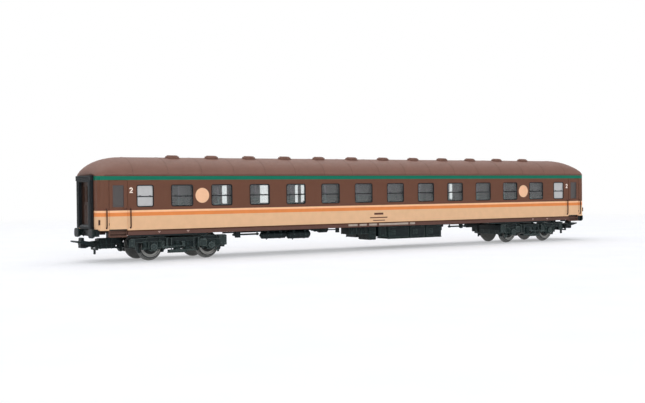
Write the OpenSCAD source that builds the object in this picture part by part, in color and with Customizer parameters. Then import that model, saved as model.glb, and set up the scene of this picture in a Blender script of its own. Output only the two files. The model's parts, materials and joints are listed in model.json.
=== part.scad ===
// Scale model passenger coach, 1:87, on two bogies.
// Millimetres. X runs along the coach, Y across it and Z up, from the floor that the
// wheel flanges stand on. Heights named _z are above the top of the rail.

/* [Body] */
// Length over the end walls
body_l = 300.4; // [280:0.2:320]
// Width over the side walls
body_w = 32.4; // [30:0.1:35]
// Width of each end wall, after the vestibules taper in
end_w = 31.6; // [28:0.1:32.2]
// Length of each tapered vestibule
taper_l = 13.8; // [10:0.1:14.5]
// Corner radius between taper and end wall
corner_r = 3; // [1.5:0.1:3.6]
// Thickness of walls and roof
wall_t = 1.1; // [0.8:0.05:1.6]
// Lower edge of the side walls
skirt_z = 11.1; // [10.6:0.1:12]
// Lower edge of the painted band, with the groove under it
band_z = 13.4; // [12.8:0.1:14]
// Eaves, where the roof sits on the walls
eaves_z = 37.6; // [36:0.1:40]

/* [Roof] */
// Rise of the roof above the eaves
roof_rise = 8.8; // [7:0.1:11]
// Rise left at the end walls
roof_end_rise = 1.5; // [1.4:0.1:4]
// Length of each sloping roof end
roof_end_l = 16.4; // [12:0.1:24]
// Fullness of the roof ends
roof_end_power = 2.1; // [1.6:0.05:2.8]
// Fullness of the roof's curve, 2 is an ellipse
roof_power = 2; // [1.8:0.05:3]
// Ventilator length, width and height
vent_l = 6.6; // [5:0.1:9]
vent_w = 3.6; // [2:0.1:5]
vent_h = 1.15; // [0.8:0.05:2]
// Distance of the ventilators from the centre line
vent_y = 4.8; // [0:0.1:7]

/* [Windows and doors] */
// Number of compartment windows on each side
window_count = 12; // [8:1:12]
// Distance between window centres
window_pitch = 20.08; // [18:0.02:20.6]
// Width and height of a compartment window
window_w = 11; // [8:0.1:12]
window_h = 10; // [8:0.1:11]
// Sill of every window
sill_z = 23.55; // [22:0.05:25]
// Width of the toilet windows
toilet_w = 8.2; // [6:0.1:9]
// Position of the toilet windows from the middle
toilet_x = 128.35; // [126:0.05:130]
// Corner radius of the windows
window_r = 1.1; // [0.4:0.1:2]
// Position, width and window width of the entrance doors
door_x = 140.85; // [140:0.05:142]
door_w = 8.4; // [7:0.1:9]
door_window_w = 5.35; // [4:0.05:6]
// Bottom of the entrance doors
door_z = 13.9; // [13.5:0.1:15]
// Width and depth of the panel joints
groove_w = 0.3; // [0.2:0.05:0.5]
groove_d = 0.25; // [0.1:0.05:0.4]
// Thickness of the clear glazing strip
glazing_t = 0.7; // [0.5:0.05:1]
// How far the panes lie behind the outer face
pane_recess = 0.3; // [0.1:0.05:0.6]

/* [Ends] */
// Half width of the gangway's rubber frame, outside and inside
gangway_out = 9.8; // [8.6:0.1:10]
gangway_in = 6.4; // [5.6:0.1:7]
// Bottom and top of the gangway frame
gangway_z0 = 14.2; // [14.1:0.1:16]
gangway_z1 = 35.6; // [34:0.1:36.5]
// How far the gangway frame stands out of the end wall
gangway_d = 1.3; // [1:0.1:2]
// Height of the gangway's top bead
lintel_h = 2.3; // [1:0.1:2.6]
// Half width of the gangway's top bead
lintel_out = 10.7; // [9.9:0.1:11.4]
// Half width of the end door
end_door_half = 5.2; // [4.4:0.1:5.6]
// Buffers: height, spacing, width and height of the heads, length over them
buffer_z = 12.07; // [11.8:0.01:12.3]
buffer_spacing = 20.12; // [19.5:0.01:21]
buffer_w = 6; // [4:0.1:6.4]
buffer_h = 4; // [3.6:0.1:5.2]
over_buffers = 303.4; // [301:0.2:323]

/* [Running gear] */
// Distance between the bogie pivots
pivot_distance = 218.4; // [200:0.2:222]
// Distance between the axles of a bogie
wheelbase = 28.7; // [26:0.1:30]
// Wheel radius on the tread
tread_r = 5.3; // [5:0.05:5.6]
// Depth of the flange
flange_h = 1.1; // [0.8:0.05:1.3]
// Distance between the backs of the wheels
back_to_back = 14.4; // [14.2:0.05:14.6]
// Width of a wheel
wheel_w = 2.8; // [2.4:0.1:3]
// Axle radius between the wheels and at the bearings
axle_r = 1; // [0.8:0.05:1.2]
journal_r = 0.9; // [0.7:0.05:1]
// Radius of the bogie pivot pin
pivot_r = 1.95; // [1.5:0.05:2.4]
// Clearance of shafts in their bores
running_gap = 0.05; // [0.03:0.01:0.08]

/* [Couplings] */
// Position of the coupling pivots from the middle
coupling_x = 135.6; // [134.5:0.1:136.6]
// Height of the coupling head
coupling_z = 7; // [6.6:0.1:7.4]
// Position of the loop's pivot and of its front bar
loop_pivot_x = 147.2; // [147:0.1:148]
loop_front_x = 156.4; // [156:0.1:158]
// Half width of the coupling loop
loop_half = 3.8; // [3.4:0.1:4.4]
// Thickness of the loop
loop_t = 0.6; // [0.5:0.05:0.8]

/* [Interior] */
// Distance between compartment partitions
partition_pitch = 19.8; // [18:0.1:20.6]
// Number of compartments
compartments = 12; // [8:1:12]
// Offset of the partitions along the coach
partition_shift = 7.5; // [-8:0.1:8]
// Corridor wall, measured from the centre line
corridor_y = 6; // [4:0.1:9]
// Top of the interior walls
interior_top_z = 35.2; // [30:0.1:36]

/* [Hidden] */

eps = 0.01;
body_half = body_l / 2;
half_w = body_w / 2;
straight_x = body_half - taper_l;            // where the taper starts
taper_a = atan((body_w - end_w) / 2 / taper_l);
pivot_x = pivot_distance / 2;
flange_r = tread_r + flange_h;
axle_z = tread_r;
inner_gap = 0.1;                             // between the shell and what is inside it
floor_z = band_z;                            // underside of the floor plate
floor_t = 1.2;
weight_t = 1.8;
insert_z = floor_z + floor_t + weight_t;     // underside of the interior insert
end_wall_z = 14;                             // lower edge of the end walls
arm_z = 10.2;                                // swinging arm of the coupling, under the floor
arm_top_z = 11.8;
step_edge = door_x - door_w / 2;             // inner edge of the doors
pillar_x = door_x + door_w / 2;              // outer edge of the doors, where the skirt stops
headstock_x = body_half - 0.3;               // outer face of the headstock
headstock_z = 10.7;
headstock_half = 12.4;
OPEN_DOORS = [[-81, -76.9], [-58.7, -53.7], [-38.2, -36.1], [-34.7, -32.3], [63, 66.5]];
brown = [0.42, 0.29, 0.24];
roof_brown = [0.53, 0.4, 0.36];
black = [0.13, 0.15, 0.16];
steel = [0.62, 0.62, 0.6];

// ---------- outline of the body in plan ----------

// Half width at x, a distance t inside the outer face, with the corner rounded
function side_y(x, t) =
    let (ax = abs(x), r = max(corner_r - t, 0.2), x_end = body_half - t)
    let (y = ax <= straight_x - t * tan(taper_a / 2) ? half_w - t
            : half_w - (ax - straight_x) * tan(taper_a) - t / cos(taper_a))
    let (over = min(max(ax - (x_end - r), 0), r))
    y - (r - sqrt(r * r - over * over));

function corner_steps(t) =
    let (r = max(corner_r - t, 0.2), x_end = body_half - t)
    [x_end - r, x_end - r + r * sin(30), x_end - r + r * sin(60), x_end];

// Outline points for the +Y side, from the left end to the right one
function half_outline(t) =
    let (c = corner_steps(t), s = straight_x - t * tan(taper_a / 2))
    let (xs = [-c[3], -c[2], -c[1], -c[0], -s, s, c[0], c[1], c[2], c[3]])
    [for (x = xs) [x, side_y(x, t)]];

module plan(t) {
    top = half_outline(t);
    n = len(top);
    polygon(concat(top, [for (i = [n - 1:-1:0]) [top[i][0], -top[i][1]]]));
}

function rounded(w, h, r) = [for (c = [[1, 1, 0], [-1, 1, 90], [-1, -1, 180], [1, -1, 270]], a = [0, 30, 60, 90])
    [c[0] * (w / 2 - r) + r * cos(c[2] + a), c[1] * (h / 2 - r) + r * sin(c[2] + a)]];

// A rounded prism that crosses the whole body along Y
module across(x, z, w, h, r) {
    translate([x, body_w, z]) rotate([90, 0, 0]) linear_extrude(2 * body_w) polygon(rounded(w, h, r));
}

module boxed(low, high) {
    translate(low) cube(high - low);
}

window_xs = [for (i = [0:window_count - 1]) (i - (window_count - 1) / 2) * window_pitch];
window_mid_z = sill_z + window_h / 2;

module window_prisms(gap) {
    for (x = window_xs) across(x, window_mid_z, window_w - 2 * gap, window_h - 2 * gap, window_r);
    for (s = [-1, 1]) {
        across(s * toilet_x, window_mid_z, toilet_w - 2 * gap, window_h - 2 * gap, window_r);
        across(s * door_x, window_mid_z, door_window_w - 2 * gap, window_h - 2 * gap, window_r / 2);
    }
}

// ---------- body ----------

// Panel joints round an entrance door, on both sides
module door_joints(s) {
    door_top = eaves_z - 1.9;
    difference() {
        across(s * door_x, (door_z + door_top) / 2 - 1, door_w + groove_w, door_top - door_z + 2, 0.6);
        across(s * door_x, (door_z + door_top) / 2 - 1, door_w - groove_w, door_top - door_z + 2 - 2 * groove_w, 0.4);
    }
}

module body_shell() color(brown) difference() {
    translate([0, 0, skirt_z]) linear_extrude(eaves_z - skirt_z) plan(0);
    translate([0, 0, skirt_z - 1]) linear_extrude(eaves_z - skirt_z + 2) plan(wall_t);
    window_prisms(0);
    for (s = [-1, 1]) {
        // the sides are open under the doors and stop higher beside them
        boxed([s > 0 ? pillar_x : -body_half - 1, -body_w, skirt_z - 1],
            [s > 0 ? body_half + 1 : -pillar_x, body_w, band_z]);
        boxed([s * door_x - door_w / 2, -body_w, skirt_z - 1], [s * door_x + door_w / 2, body_w, door_z]);
        // end wall: lower edge and doorway
        boxed([s > 0 ? body_half - wall_t : -body_half - 1, -end_door_half - 1, skirt_z - 1],
            [s > 0 ? body_half + 1 : -body_half + wall_t, end_door_half + 1, end_wall_z]);
        boxed([s > 0 ? body_half - wall_t - 1 : -body_half - 1, -end_door_half, gangway_z0],
            [s > 0 ? body_half + 1 : -body_half + wall_t + 1, end_door_half, gangway_z1 - 0.4]);
        boxed([s > 0 ? body_half - wall_t - eps : -body_half - 1, -body_w, skirt_z - 1],
            [s > 0 ? body_half + 1 : -body_half + wall_t + eps, body_w, end_wall_z]);
        // panel joints of the doors
        difference() {
            door_joints(s);
            translate([0, 0, skirt_z - 2]) linear_extrude(eaves_z) plan(groove_d);
        }
    }
    // groove between the painted band and the sole bar
    difference() {
        boxed([-step_edge, -body_w, band_z - groove_w], [step_edge, body_w, band_z]);
        translate([0, 0, skirt_z - 2]) linear_extrude(eaves_z) plan(groove_d * 0.6);
    }
}

// ---------- roof ----------

roof_steps = 20;                             // facets across the roof
end_steps = 7;                               // stations along each roof end, closer towards its edge

// Rise of the roof at x
function rise_at(x) =
    let (over = min(max(abs(x) - (body_half - roof_end_l), 0) / roof_end_l, 1))
    roof_end_rise + (roof_rise - roof_end_rise) * pow(1 - pow(over, roof_end_power), 1 / roof_end_power);

function arch(a, b) = [for (i = [0:roof_steps])
    let (t = 180 * i / roof_steps, c = cos(t))
    [a * sign(c) * pow(abs(c), 2 / roof_power), b * pow(sin(t), 2 / roof_power)]];

function station_xs(t) =
    let (x_end = body_half - t, x_start = body_half - roof_end_l, x_corner = x_end - max(corner_r - t, 0.2))
    let (half = concat([for (i = [0:end_steps]) x_start + (x_corner - x_start) * sin(90 * i / end_steps)],
        [for (a = [22, 42, 60, 76, 90]) x_corner + (x_end - x_corner) * sin(a)]))
    concat([for (i = [len(half) - 1:-1:0]) -half[i]], half);

// Solid under the roof's curve, a distance t inside it, down to the height low
module under_roof(t, low) {
    xs = station_xs(t);
    m = len(xs);
    n = roof_steps + 3;
    points = [for (x = xs) let (a = side_y(x, t), ring = arch(a, rise_at(x) - t))
        each concat([[x, a, low]], [for (p = ring) [x, p[0], p[1]]], [[x, -a, low]])];
    sides = [for (i = [0:m - 2], j = [0:n - 1], k = [0, 1])
        let (a = i * n + j, b = i * n + (j + 1) % n, c = a + n, d = b + n)
        k == 0 ? [a, c, b] : [b, c, d]];
    ends = [[for (j = [0:n - 1]) j], [for (j = [n - 1:-1:0]) (m - 1) * n + j]];
    polyhedron(points = points, faces = concat(sides, ends), convexity = 6);
}

module roof() color(roof_brown) translate([0, 0, eaves_z]) difference() {
    intersection() {
        under_roof(0, -1);
        boxed([-body_half - 1, -body_w, 0], [body_half + 1, body_w, roof_rise + 1]);
    }
    under_roof(wall_t, -2);
}

module vent(x) difference() {
    translate([x, -vent_y, eaves_z + roof_rise - 0.9]) rotate([9, 0, 0]) {
        linear_extrude(1.3) polygon(rounded(vent_l, vent_w, vent_w / 2 - 0.1));
        translate([0, 0, 1.3]) linear_extrude(vent_h - 0.75) polygon(rounded(vent_l - 1.4, vent_w - 0.9, vent_w / 2 - 0.6));
    }
    translate([x - vent_l, 0, eaves_z]) rotate([90, 0, 90]) linear_extrude(2 * vent_l)
        polygon(arch(half_w, roof_rise));
}

module roof_vents() color(roof_brown) for (x = window_xs) vent(x);

// ---------- glazing ----------

module glazing(side) color([0.8, 0.85, 0.88, 0.4]) intersection() {
    union() {
        translate([0, 0, sill_z - 1]) linear_extrude(window_h + 2) difference() {
            plan(wall_t + inner_gap);
            plan(wall_t + inner_gap + glazing_t);
        }
        intersection() {
            translate([0, 0, sill_z - 2]) linear_extrude(window_h + 4) difference() {
                plan(pane_recess);
                plan(wall_t + inner_gap + glazing_t / 2);
            }
            window_prisms(0.08);
        }
    }
    boxed([-body_half + wall_t + 2, side > 0 ? 1 : -body_w, 0], [body_half - wall_t - 2, side > 0 ? body_w : -1, eaves_z]);
}

// ---------- ends ----------

module end_door(s) color([0.3, 0.2, 0.16]) {
    x0 = body_half - wall_t + 0.1;
    mirror([s > 0 ? 0 : 1, 0, 0]) difference() {
        boxed([x0, -end_door_half, gangway_z0], [x0 + 0.7, end_door_half, gangway_z1 - 0.4]);
        for (y = [-1, 1]) boxed([x0 + 0.5, y * 2.4 - 1.7, 26], [x0 + 1, y * 2.4 + 1.7, 33]);
    }
}

module gangway(s) color(black) mirror([s > 0 ? 0 : 1, 0, 0]) {
    translate([body_half, 0, 0]) difference() {
        union() {
            boxed([0, -gangway_out, gangway_z0], [gangway_d, gangway_out, gangway_z1]);
            boxed([0, -lintel_out, gangway_z1], [gangway_d, lintel_out, gangway_z1 + lintel_h]);
        }
        boxed([-1, -gangway_in, gangway_z0 + 0.8], [gangway_d + 1, gangway_in, gangway_z1 - 0.6]);
    }
}

module buffer(s, side) color(black)
    translate([0, side * buffer_spacing / 2, buffer_z]) mirror([s > 0 ? 0 : 1, 0, 0]) {
        boxed([headstock_x, -1.6, -1.3], [headstock_x + 0.3, 1.6, 1.3]);
        translate([headstock_x, 0, 0]) rotate([0, 90, 0])
            cylinder(r = 1.2, h = over_buffers / 2 - headstock_x - 0.4, $fn = 32);
        translate([over_buffers / 2 - 0.8, 0, 0]) rotate([90, 0, 90]) linear_extrude(0.8)
            polygon(rounded(buffer_w, buffer_h, 1.5));
    }

// Well under an entrance door: back plate, two treads and cheeks
module steps(s, side) color([0.26, 0.19, 0.14]) mirror([s > 0 ? 0 : 1, 0, 0]) mirror([0, side > 0 ? 0 : 1, 0]) {
    x0 = step_edge + 0.1;
    x1 = pillar_x - 0.1;
    y0 = side_y(x1, wall_t) - 0.5;
    boxed([x0, y0 - 0.8, 10.4], [x1, y0, floor_z]);
    boxed([x0, y0 - eps, 10.4], [x1, y0 + 1.5, 10.9]);
    boxed([x0, y0 - eps, 12], [x1, y0 + 0.9, 12.3]);
    for (x = [x0, x1 - 0.4]) boxed([x, y0 - eps, 10.8], [x + 0.4, y0 + 1.1, floor_z]);
}

// ---------- underframe and what hangs from it ----------

module underframe() color(black) difference() {
    union() {
        translate([0, 0, floor_z]) linear_extrude(floor_t) plan(wall_t + inner_gap);
        // sole bars inside the skirt
        for (side = [-1, 1]) boxed([-step_edge + 1, side > 0 ? half_w - wall_t - inner_gap - 1.6 : -half_w + wall_t + inner_gap, skirt_z + 0.2],
            [step_edge - 1, side > 0 ? half_w - wall_t - inner_gap : -half_w + wall_t + inner_gap + 1.6, floor_z + eps]);
        for (s = [-1, 1]) {
            // headstock
            boxed([s > 0 ? headstock_x - 1.5 : -headstock_x, -headstock_half, headstock_z],
                [s > 0 ? headstock_x : -headstock_x + 1.5, headstock_half, floor_z]);
            // bearing for the bogie pivot and for the coupling
            translate([s * pivot_x, 0, 10]) cylinder(r = 3.6, h = floor_z - 10 + eps, $fn = 48);
            translate([s * coupling_x, 0, arm_top_z + 0.1]) cylinder(r = 2.4, h = floor_z - arm_top_z - 0.1 + eps, $fn = 40);
        }
        // cross bearers between the bogies
        for (x = [-72, -30, 50, 72]) boxed([x - 0.6, -13.6, floor_z - 1.2], [x + 0.6, 13.6, floor_z + eps]);
        // centre sill
        boxed([-78, -2.2, floor_z - 1.6], [78, 2.2, floor_z + eps]);
    }
    for (s = [-1, 1]) {
        translate([s * pivot_x, 0, 8]) cylinder(r = pivot_r, h = 6, $fn = 48);
        translate([s * coupling_x, 0, 8]) cylinder(r = 1.25, h = 6, $fn = 40);
    }
}

module tank(x0, x1, y, z, r) {
    translate([x0 + r * 0.4, y, z]) rotate([0, 90, 0]) cylinder(r = r, h = x1 - x0 - 0.8 * r, $fn = 40);
    for (e = [0, 1]) translate([e == 0 ? x0 : x1 - 0.4 * r, y, z]) rotate([0, 90, 0])
        cylinder(r1 = e == 0 ? r * 0.6 : r, r2 = e == 0 ? r : r * 0.6, h = r * 0.4, $fn = 40);
    for (u = [0.25, 0.75]) translate([x0 + (x1 - x0) * u, y, z]) boxed([-0.5, -r * 0.8, 0], [0.5, r * 0.8, floor_z - z]);
}

module air_tanks() color(black) {
    tank(-67.2, -53.2, -10.6, 8.6, 1.75);
    tank(-52.4, -39.4, -10.4, 8.5, 2.1);
    tank(-54, -31, 9.8, 8.6, 1.9);
}

module brake_rods() color(black) {
    boxed([-83, -12.4, 9.1], [-69, -11.6, 9.7]);
    boxed([-81.5, -12.8, 8], [-79.2, -11.3, floor_z]);
    boxed([48.6, -12.4, 9.2], [61, -11.6, 9.9]);
    boxed([56.6, -12.7, 8.9], [58.4, -11.3, floor_z]);
    boxed([-38.9, -11.6, 9.9], [-23, -10.9, 10.4]);
    for (b = [[-37.4, 9.7], [-32.4, 9.3], [-24, 8.6]]) boxed([b[0], -11.9, b[1]], [b[0] + 1.6, -10.6, floor_z]);
}

module battery_box() color(black) difference() {
    boxed([6.9, -13.2, 4.3], [42.6, -4, floor_z - 1.6]);
    for (x = [21.1, 31.8]) boxed([x - 0.25, -14, 3], [x + 0.25, -12.7, floor_z]);
}

module converter_box() color(black) {
    boxed([-5, -13.2, 4.3], [-0.6, -3.4, floor_z]);
    boxed([-17, -12.8, 7.4], [-5 + eps, -5, floor_z]);
}

module switch_box() color(black) boxed([1.2, -13, 5.6], [6.4, -5, floor_z]);

module battery_box_far() color(black) boxed([-2, 3.6, 4.8], [36, 13.2, floor_z - 1.6]);

// ---------- interior ----------

module interior() color([0.45, 0.5, 0.52]) {
    in = wall_t + inner_gap + glazing_t + 0.3;
    top = interior_top_z;
    floor = insert_z + 0.8;
    saloon = compartments * partition_pitch / 2;
    translate([0, 0, insert_z]) linear_extrude(0.8) intersection() {
        plan(in);
        square([2 * straight_x, body_w], center = true);
    }
    // partitions
    for (i = [0:compartments]) {
        x = -saloon + i * partition_pitch + partition_shift;
        boxed([x - 0.4, -half_w + in, floor - eps], [x + 0.4, corridor_y, top]);
    }
    // corridor wall, some compartment doors stand open
    difference() {
        boxed([-saloon + partition_shift, corridor_y, floor - eps], [saloon + partition_shift, corridor_y + 0.8, top]);
        for (d = OPEN_DOORS) boxed([d[0], corridor_y - 1, floor + 0.4], [d[1], corridor_y + 2, top - 0.8]);
    }
    // seats on both sides of each compartment
    for (i = [0:compartments - 1], s = [-1, 1]) {
        x = -saloon + (i + 0.5) * partition_pitch + partition_shift;
        back = s * (partition_pitch / 2 - 0.4);
        boxed([x + min(back, back - s * 5.4), -half_w + in + 0.4, floor - eps],
            [x + max(back, back - s * 5.4), corridor_y - 0.6, floor + 4.2]);
        boxed([x + min(back, back - s * 1.4), -half_w + in + 0.4, floor + 4.2 - eps],
            [x + max(back, back - s * 1.4), corridor_y - 0.6, floor + 7.6]);
    }
}

module ballast_weight() color(steel) boxed([-88, -11, floor_z + floor_t], [88, 11, insert_z]);

// ---------- bogies ----------

side_in = back_to_back / 2 + wheel_w + 0.9;  // inner face of the side frames
side_t = 1.5;
bolster_z = 9.4;
frame_out = 25.6;                            // end of a bogie frame towards the coach's end
frame_in = 22.9;                             // and towards its middle
hanger_z = 7.2;                              // brake hangers reach up to the frame

module at_bogie(s) translate([s * pivot_x, 0, 0]) rotate(s > 0 ? 180 : 0) children();

// One side frame, outer side towards -Y
module side_frame() {
    a = wheelbase / 2;
    face = -side_in - side_t;
    translate([0, -side_in, 0]) rotate([90, 0, 0]) linear_extrude(side_t) polygon([
        [-frame_out, 8.6], [-frame_out + 1, 9.3], [-9.6, 9.9], [-7, 9.3], [7, 9.3], [9.6, 9.9], [frame_in - 0.7, 9.9],
        [frame_in, 9.3], [frame_in, 5], [frame_in - 1.6, 4.8], [frame_in - 3.4, 5.6], [frame_in - 3.4, 7.9],
        [9.4, 8], [7.6, 7], [6.2, 4.6], [-6.2, 4.6], [-7.6, 7], [-9.4, 8], [-frame_out + 3, 7.4], [-frame_out + 3, 5.4],
        [-frame_out, 5.4]]);
    for (x = [-a, a]) translate([x, 0, 0]) {
        // axle box on its two spring seats, and its cover
        boxed([-1.9, face - 0.9, axle_z - 1.9], [1.9, -side_in, 7.4]);
        translate([0, face - 0.8, axle_z]) rotate([90, 0, 0]) cylinder(r = 1.45, h = 0.55, $fn = 36);
        boxed([-1.8, face, 7.2], [1.8, -side_in, 8.2]);
        boxed([-4.9, face - 0.3, 4.2], [4.9, -side_in, 4.8]);
        for (u = [-3.6, 3.6]) translate([u, face + 0.35, 4.7]) cylinder(r = 1.15, h = 3.6, $fn = 32);
    }
    // bolster springs on their plank
    boxed([-6.6, face - 1.1, 2.9], [6.6, -side_in, 3.7]);
    for (u = [-2.5, 2.5]) translate([u, face + 0.4, 3.6]) cylinder(r = 1.5, h = 1.2, $fn = 36);
    boxed([-5.6, face - 0.9, 7.5], [5.6, -side_in, 8.9]);
    for (u = [-2.5, 2.5]) translate([u, face + 0.2, 4.4]) cylinder(r = 1.3, h = 3.3, $fn = 36);
}

module bogie_frame() color(black) difference() {
    union() {
        side_frame();
        mirror([0, 1, 0]) side_frame();
        // transoms, bolster, inner end beam and the stubs of the outer end
        for (x = [-6.4, 6.4]) boxed([x - 1.5, -side_in - eps, 7], [x + 1.5, side_in + eps, 8.6]);
        boxed([-6, -side_in - eps, 7.6], [6, side_in + eps, bolster_z]);
        boxed([frame_in - 1.6, -side_in - eps, 6.4], [frame_in - 0.2, side_in + eps, 9]);
        for (y = [-1, 1]) boxed([-wheelbase / 2 - 7.5, y > 0 ? 8.6 : -side_in - eps, hanger_z],
            [-wheelbase / 2 - 6.4, y > 0 ? side_in + eps : -8.6, 8.4]);
        for (y = [-1, 1]) boxed([-frame_out + 0.2, y > 0 ? 9.4 : -side_in - eps, 6.4],
            [-frame_out + 1.6, y > 0 ? side_in + eps : -9.4, 8.6]);
        translate([0, 0, bolster_z - 1]) cylinder(r = 3.4, h = 1.5, $fn = 48);
        translate([0, 0, 7]) cylinder(r = 3.4, h = 1, $fn = 48);
    }
    translate([0, 0, 6]) cylinder(r = pivot_r + running_gap, h = 5, $fn = 48);
    for (x = [-1, 1]) translate([x * wheelbase / 2, 0, axle_z]) rotate([90, 0, 0])
        cylinder(r = journal_r + running_gap, h = 2 * (side_in + side_t), center = true, $fn = 32);
}

// Brake blocks on both sides of a wheel, hung from the frame
module brake_block(x, s, y) {
    tread_gap = 0.4;
    translate([x, 0, 0]) {
        intersection() {
            translate([0, y - 0.75, axle_z]) rotate([-90, 0, 0]) difference() {
                cylinder(r = tread_r + tread_gap + 1, h = 1.5, $fn = 48);
                translate([0, 0, -1]) cylinder(r = tread_r + tread_gap, h = 4, $fn = 48);
            }
            boxed([s > 0 ? 0 : -8, y - 1, axle_z - 2.7], [s > 0 ? 8 : 0, y + 1, axle_z + 1.5]);
        }
        boxed([s > 0 ? 6.55 : -7.3, y - 0.5, axle_z - 1.2], [s > 0 ? 7.3 : -6.55, y + 0.5,
            s * x < 0 ? 7 : (x < 0 ? hanger_z : 6.4)]);
    }
}

module bogie_brakes() color(black) {
    a = wheelbase / 2;
    for (x = [-a, a], s = [-1, 1]) {
        for (y = [-9.2, 9.2]) brake_block(x, s, y);
        translate([x + s * 7.1, 0, axle_z - 0.8]) rotate([90, 0, 0]) cylinder(r = 0.3, h = 18.4, center = true, $fn = 20);
    }
}

module bogie_pin(s) color(steel) translate([s * pivot_x, 0, 0]) {
    translate([0, 0, 6.9]) cylinder(r = pivot_r, h = floor_z - 0.1 - 6.9, $fn = 48);
    translate([0, 0, 5.9]) cylinder(r = 3, h = 1.05, $fn = 40);
}

module axle(x) color(steel) translate([x, 0, axle_z]) rotate([90, 0, 0]) {
    tip = side_in + 1.4;
    cylinder(r = axle_r, h = back_to_back + 2 * wheel_w, center = true, $fn = 40);
    cylinder(r = journal_r, h = 2 * tip, center = true, $fn = 40);
}

// Both wheels of an axle: flange at the back, tread, rim and dished disc
module wheels(x) color(steel) translate([x, 0, axle_z]) for (side = [-1, 1]) rotate([side * 90, 0, 0])
    rotate_extrude($fn = 72) translate([0, back_to_back / 2]) polygon([
        [axle_r, 0], [flange_r - 0.5, 0], [flange_r - 0.12, 0.22], [flange_r, 0.42], [flange_r - 0.15, 0.62],
        [tread_r + 0.1, 0.95], [tread_r, 1.15], [tread_r - 0.07, wheel_w - 0.15], [tread_r - 0.2, wheel_w],
        [tread_r - 0.9, wheel_w], [tread_r - 1.05, wheel_w - 0.55], [2.3, wheel_w - 0.8], [1.9, wheel_w - 0.1],
        [axle_r, wheel_w - 0.1]]);

// ---------- couplings ----------

pocket_x = 138.4;
pocket_end = 145.5;
pocket_half = 2.6;
shank_w = 3.1;
shank_h = 1.6;

module coupling_pin(s) color(steel) translate([s * coupling_x, 0, 0]) {
    translate([0, 0, arm_z - 0.1]) cylinder(r = 1.25, h = floor_z - 0.2 - arm_z + 0.1, $fn = 40);
    translate([0, 0, arm_z - 0.5]) cylinder(r = 1.8, h = 0.45, $fn = 36);
}

// Swinging arm under the floor, with the coupling pocket hanging from its end
module coupling_arm(s) color(black) mirror([s > 0 ? 0 : 1, 0, 0]) difference() {
    union() {
        translate([coupling_x, 0, arm_z]) cylinder(r = 2.4, h = arm_top_z - arm_z, $fn = 40);
        boxed([coupling_x, -1.6, arm_z], [pocket_x + 2.2, 1.6, arm_top_z]);
        boxed([pocket_x + 0.2, -1.6, coupling_z + 2], [pocket_x + 2.2, 1.6, arm_top_z]);
        boxed([pocket_x, -pocket_half, coupling_z - 2.2], [pocket_end, pocket_half, coupling_z + 2.3]);
        translate([0, 1.5, 0]) rotate([90, 0, 0]) linear_extrude(3) polygon([
            [pocket_x + eps, 4.8], [pocket_x + eps, 9.2], [134.6, 9.2], [134.6, 6], [133.9, 3.4], [134.8, 3.2],
            [135.8, 4.6]]);
    }
    translate([136.4, 0, 6.2]) rotate([90, 0, 0]) cylinder(r = 0.9, h = 8, center = true, $fn = 24);
    translate([coupling_x, 0, 5]) cylinder(r = 1.25 + running_gap, h = 10, $fn = 40);
    boxed([pocket_x + 1.2, -shank_w / 2 - 0.05, coupling_z - shank_h / 2 - 0.05],
        [pocket_end + 1, shank_w / 2 + 0.05, coupling_z + shank_h / 2 + 0.05]);
}

// Coupling head: shank in the pocket, body with the loop's bearing, neck and hook
module coupling_head(s) color(black) mirror([s > 0 ? 0 : 1, 0, 0]) difference() {
    union() {
        boxed([pocket_x + 1.4, -shank_w / 2, coupling_z - shank_h / 2], [pocket_end + 0.6, shank_w / 2, coupling_z + shank_h / 2]);
        translate([0, 1.9, 0]) rotate([90, 0, 0]) linear_extrude(3.8) polygon([
            [pocket_end + 0.3, 5.4], [pocket_end + 0.3, 8.4], [148, 8.2], [149.2, 7.9], [150.6, 8.4], [151.9, 8.7],
            [152, 10], [153.2, 10], [153.6, 7.4], [153.4, 5.4], [151.4, 5.3], [149.2, 6], [147.6, 5.4]]);
    }
    translate([loop_pivot_x, 0, coupling_z - 0.1]) rotate([90, 0, 0])
        cylinder(r = 0.5 + running_gap, h = 10, center = true, $fn = 24);
}

// Loop that drops over the next coach's hook, with its trip pin underneath
module coupling_loop(s) color(black) mirror([s > 0 ? 0 : 1, 0, 0]) {
    z = coupling_z - 0.1;
    rear = loop_pivot_x - 0.6;
    for (side = [-1, 1]) {
        translate([0, side > 0 ? loop_half : -loop_half + loop_t, 0]) rotate([90, 0, 0]) linear_extrude(loop_t) polygon([
            [rear - 0.5, 4.3], [rear - 0.5, z + 0.5], [rear, z + 0.8], [loop_pivot_x + 1, z + 0.8], [loop_front_x - 0.6, 8.75],
            [loop_front_x, 8.75], [loop_front_x, 8.1], [loop_pivot_x + 1, z - 0.5], [rear + 0.5, 5.6], [rear + 0.5, 4.3]]);
        translate([loop_pivot_x, side * 1.2, z]) rotate([side * -90, 0, 0]) cylinder(r = 0.5, h = loop_half - 1.2, $fn = 24);
    }
    boxed([loop_front_x - loop_t, -loop_half, 8.1], [loop_front_x, loop_half, 8.75]);
    boxed([rear - 0.5, -loop_half, 4.3], [rear + 0.5, loop_half, 5]);
    boxed([rear - 0.4, -0.5, 2.3], [rear + 0.4, 0.5, 4.4]);
}

// ---------- all pieces, lifted so that the flanges stand at zero ----------

module place() translate([0, 0, flange_h]) children();

module part(name) place() children();

axle_xs = [-pivot_x - wheelbase / 2, -pivot_x + wheelbase / 2, pivot_x - wheelbase / 2, pivot_x + wheelbase / 2];

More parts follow.
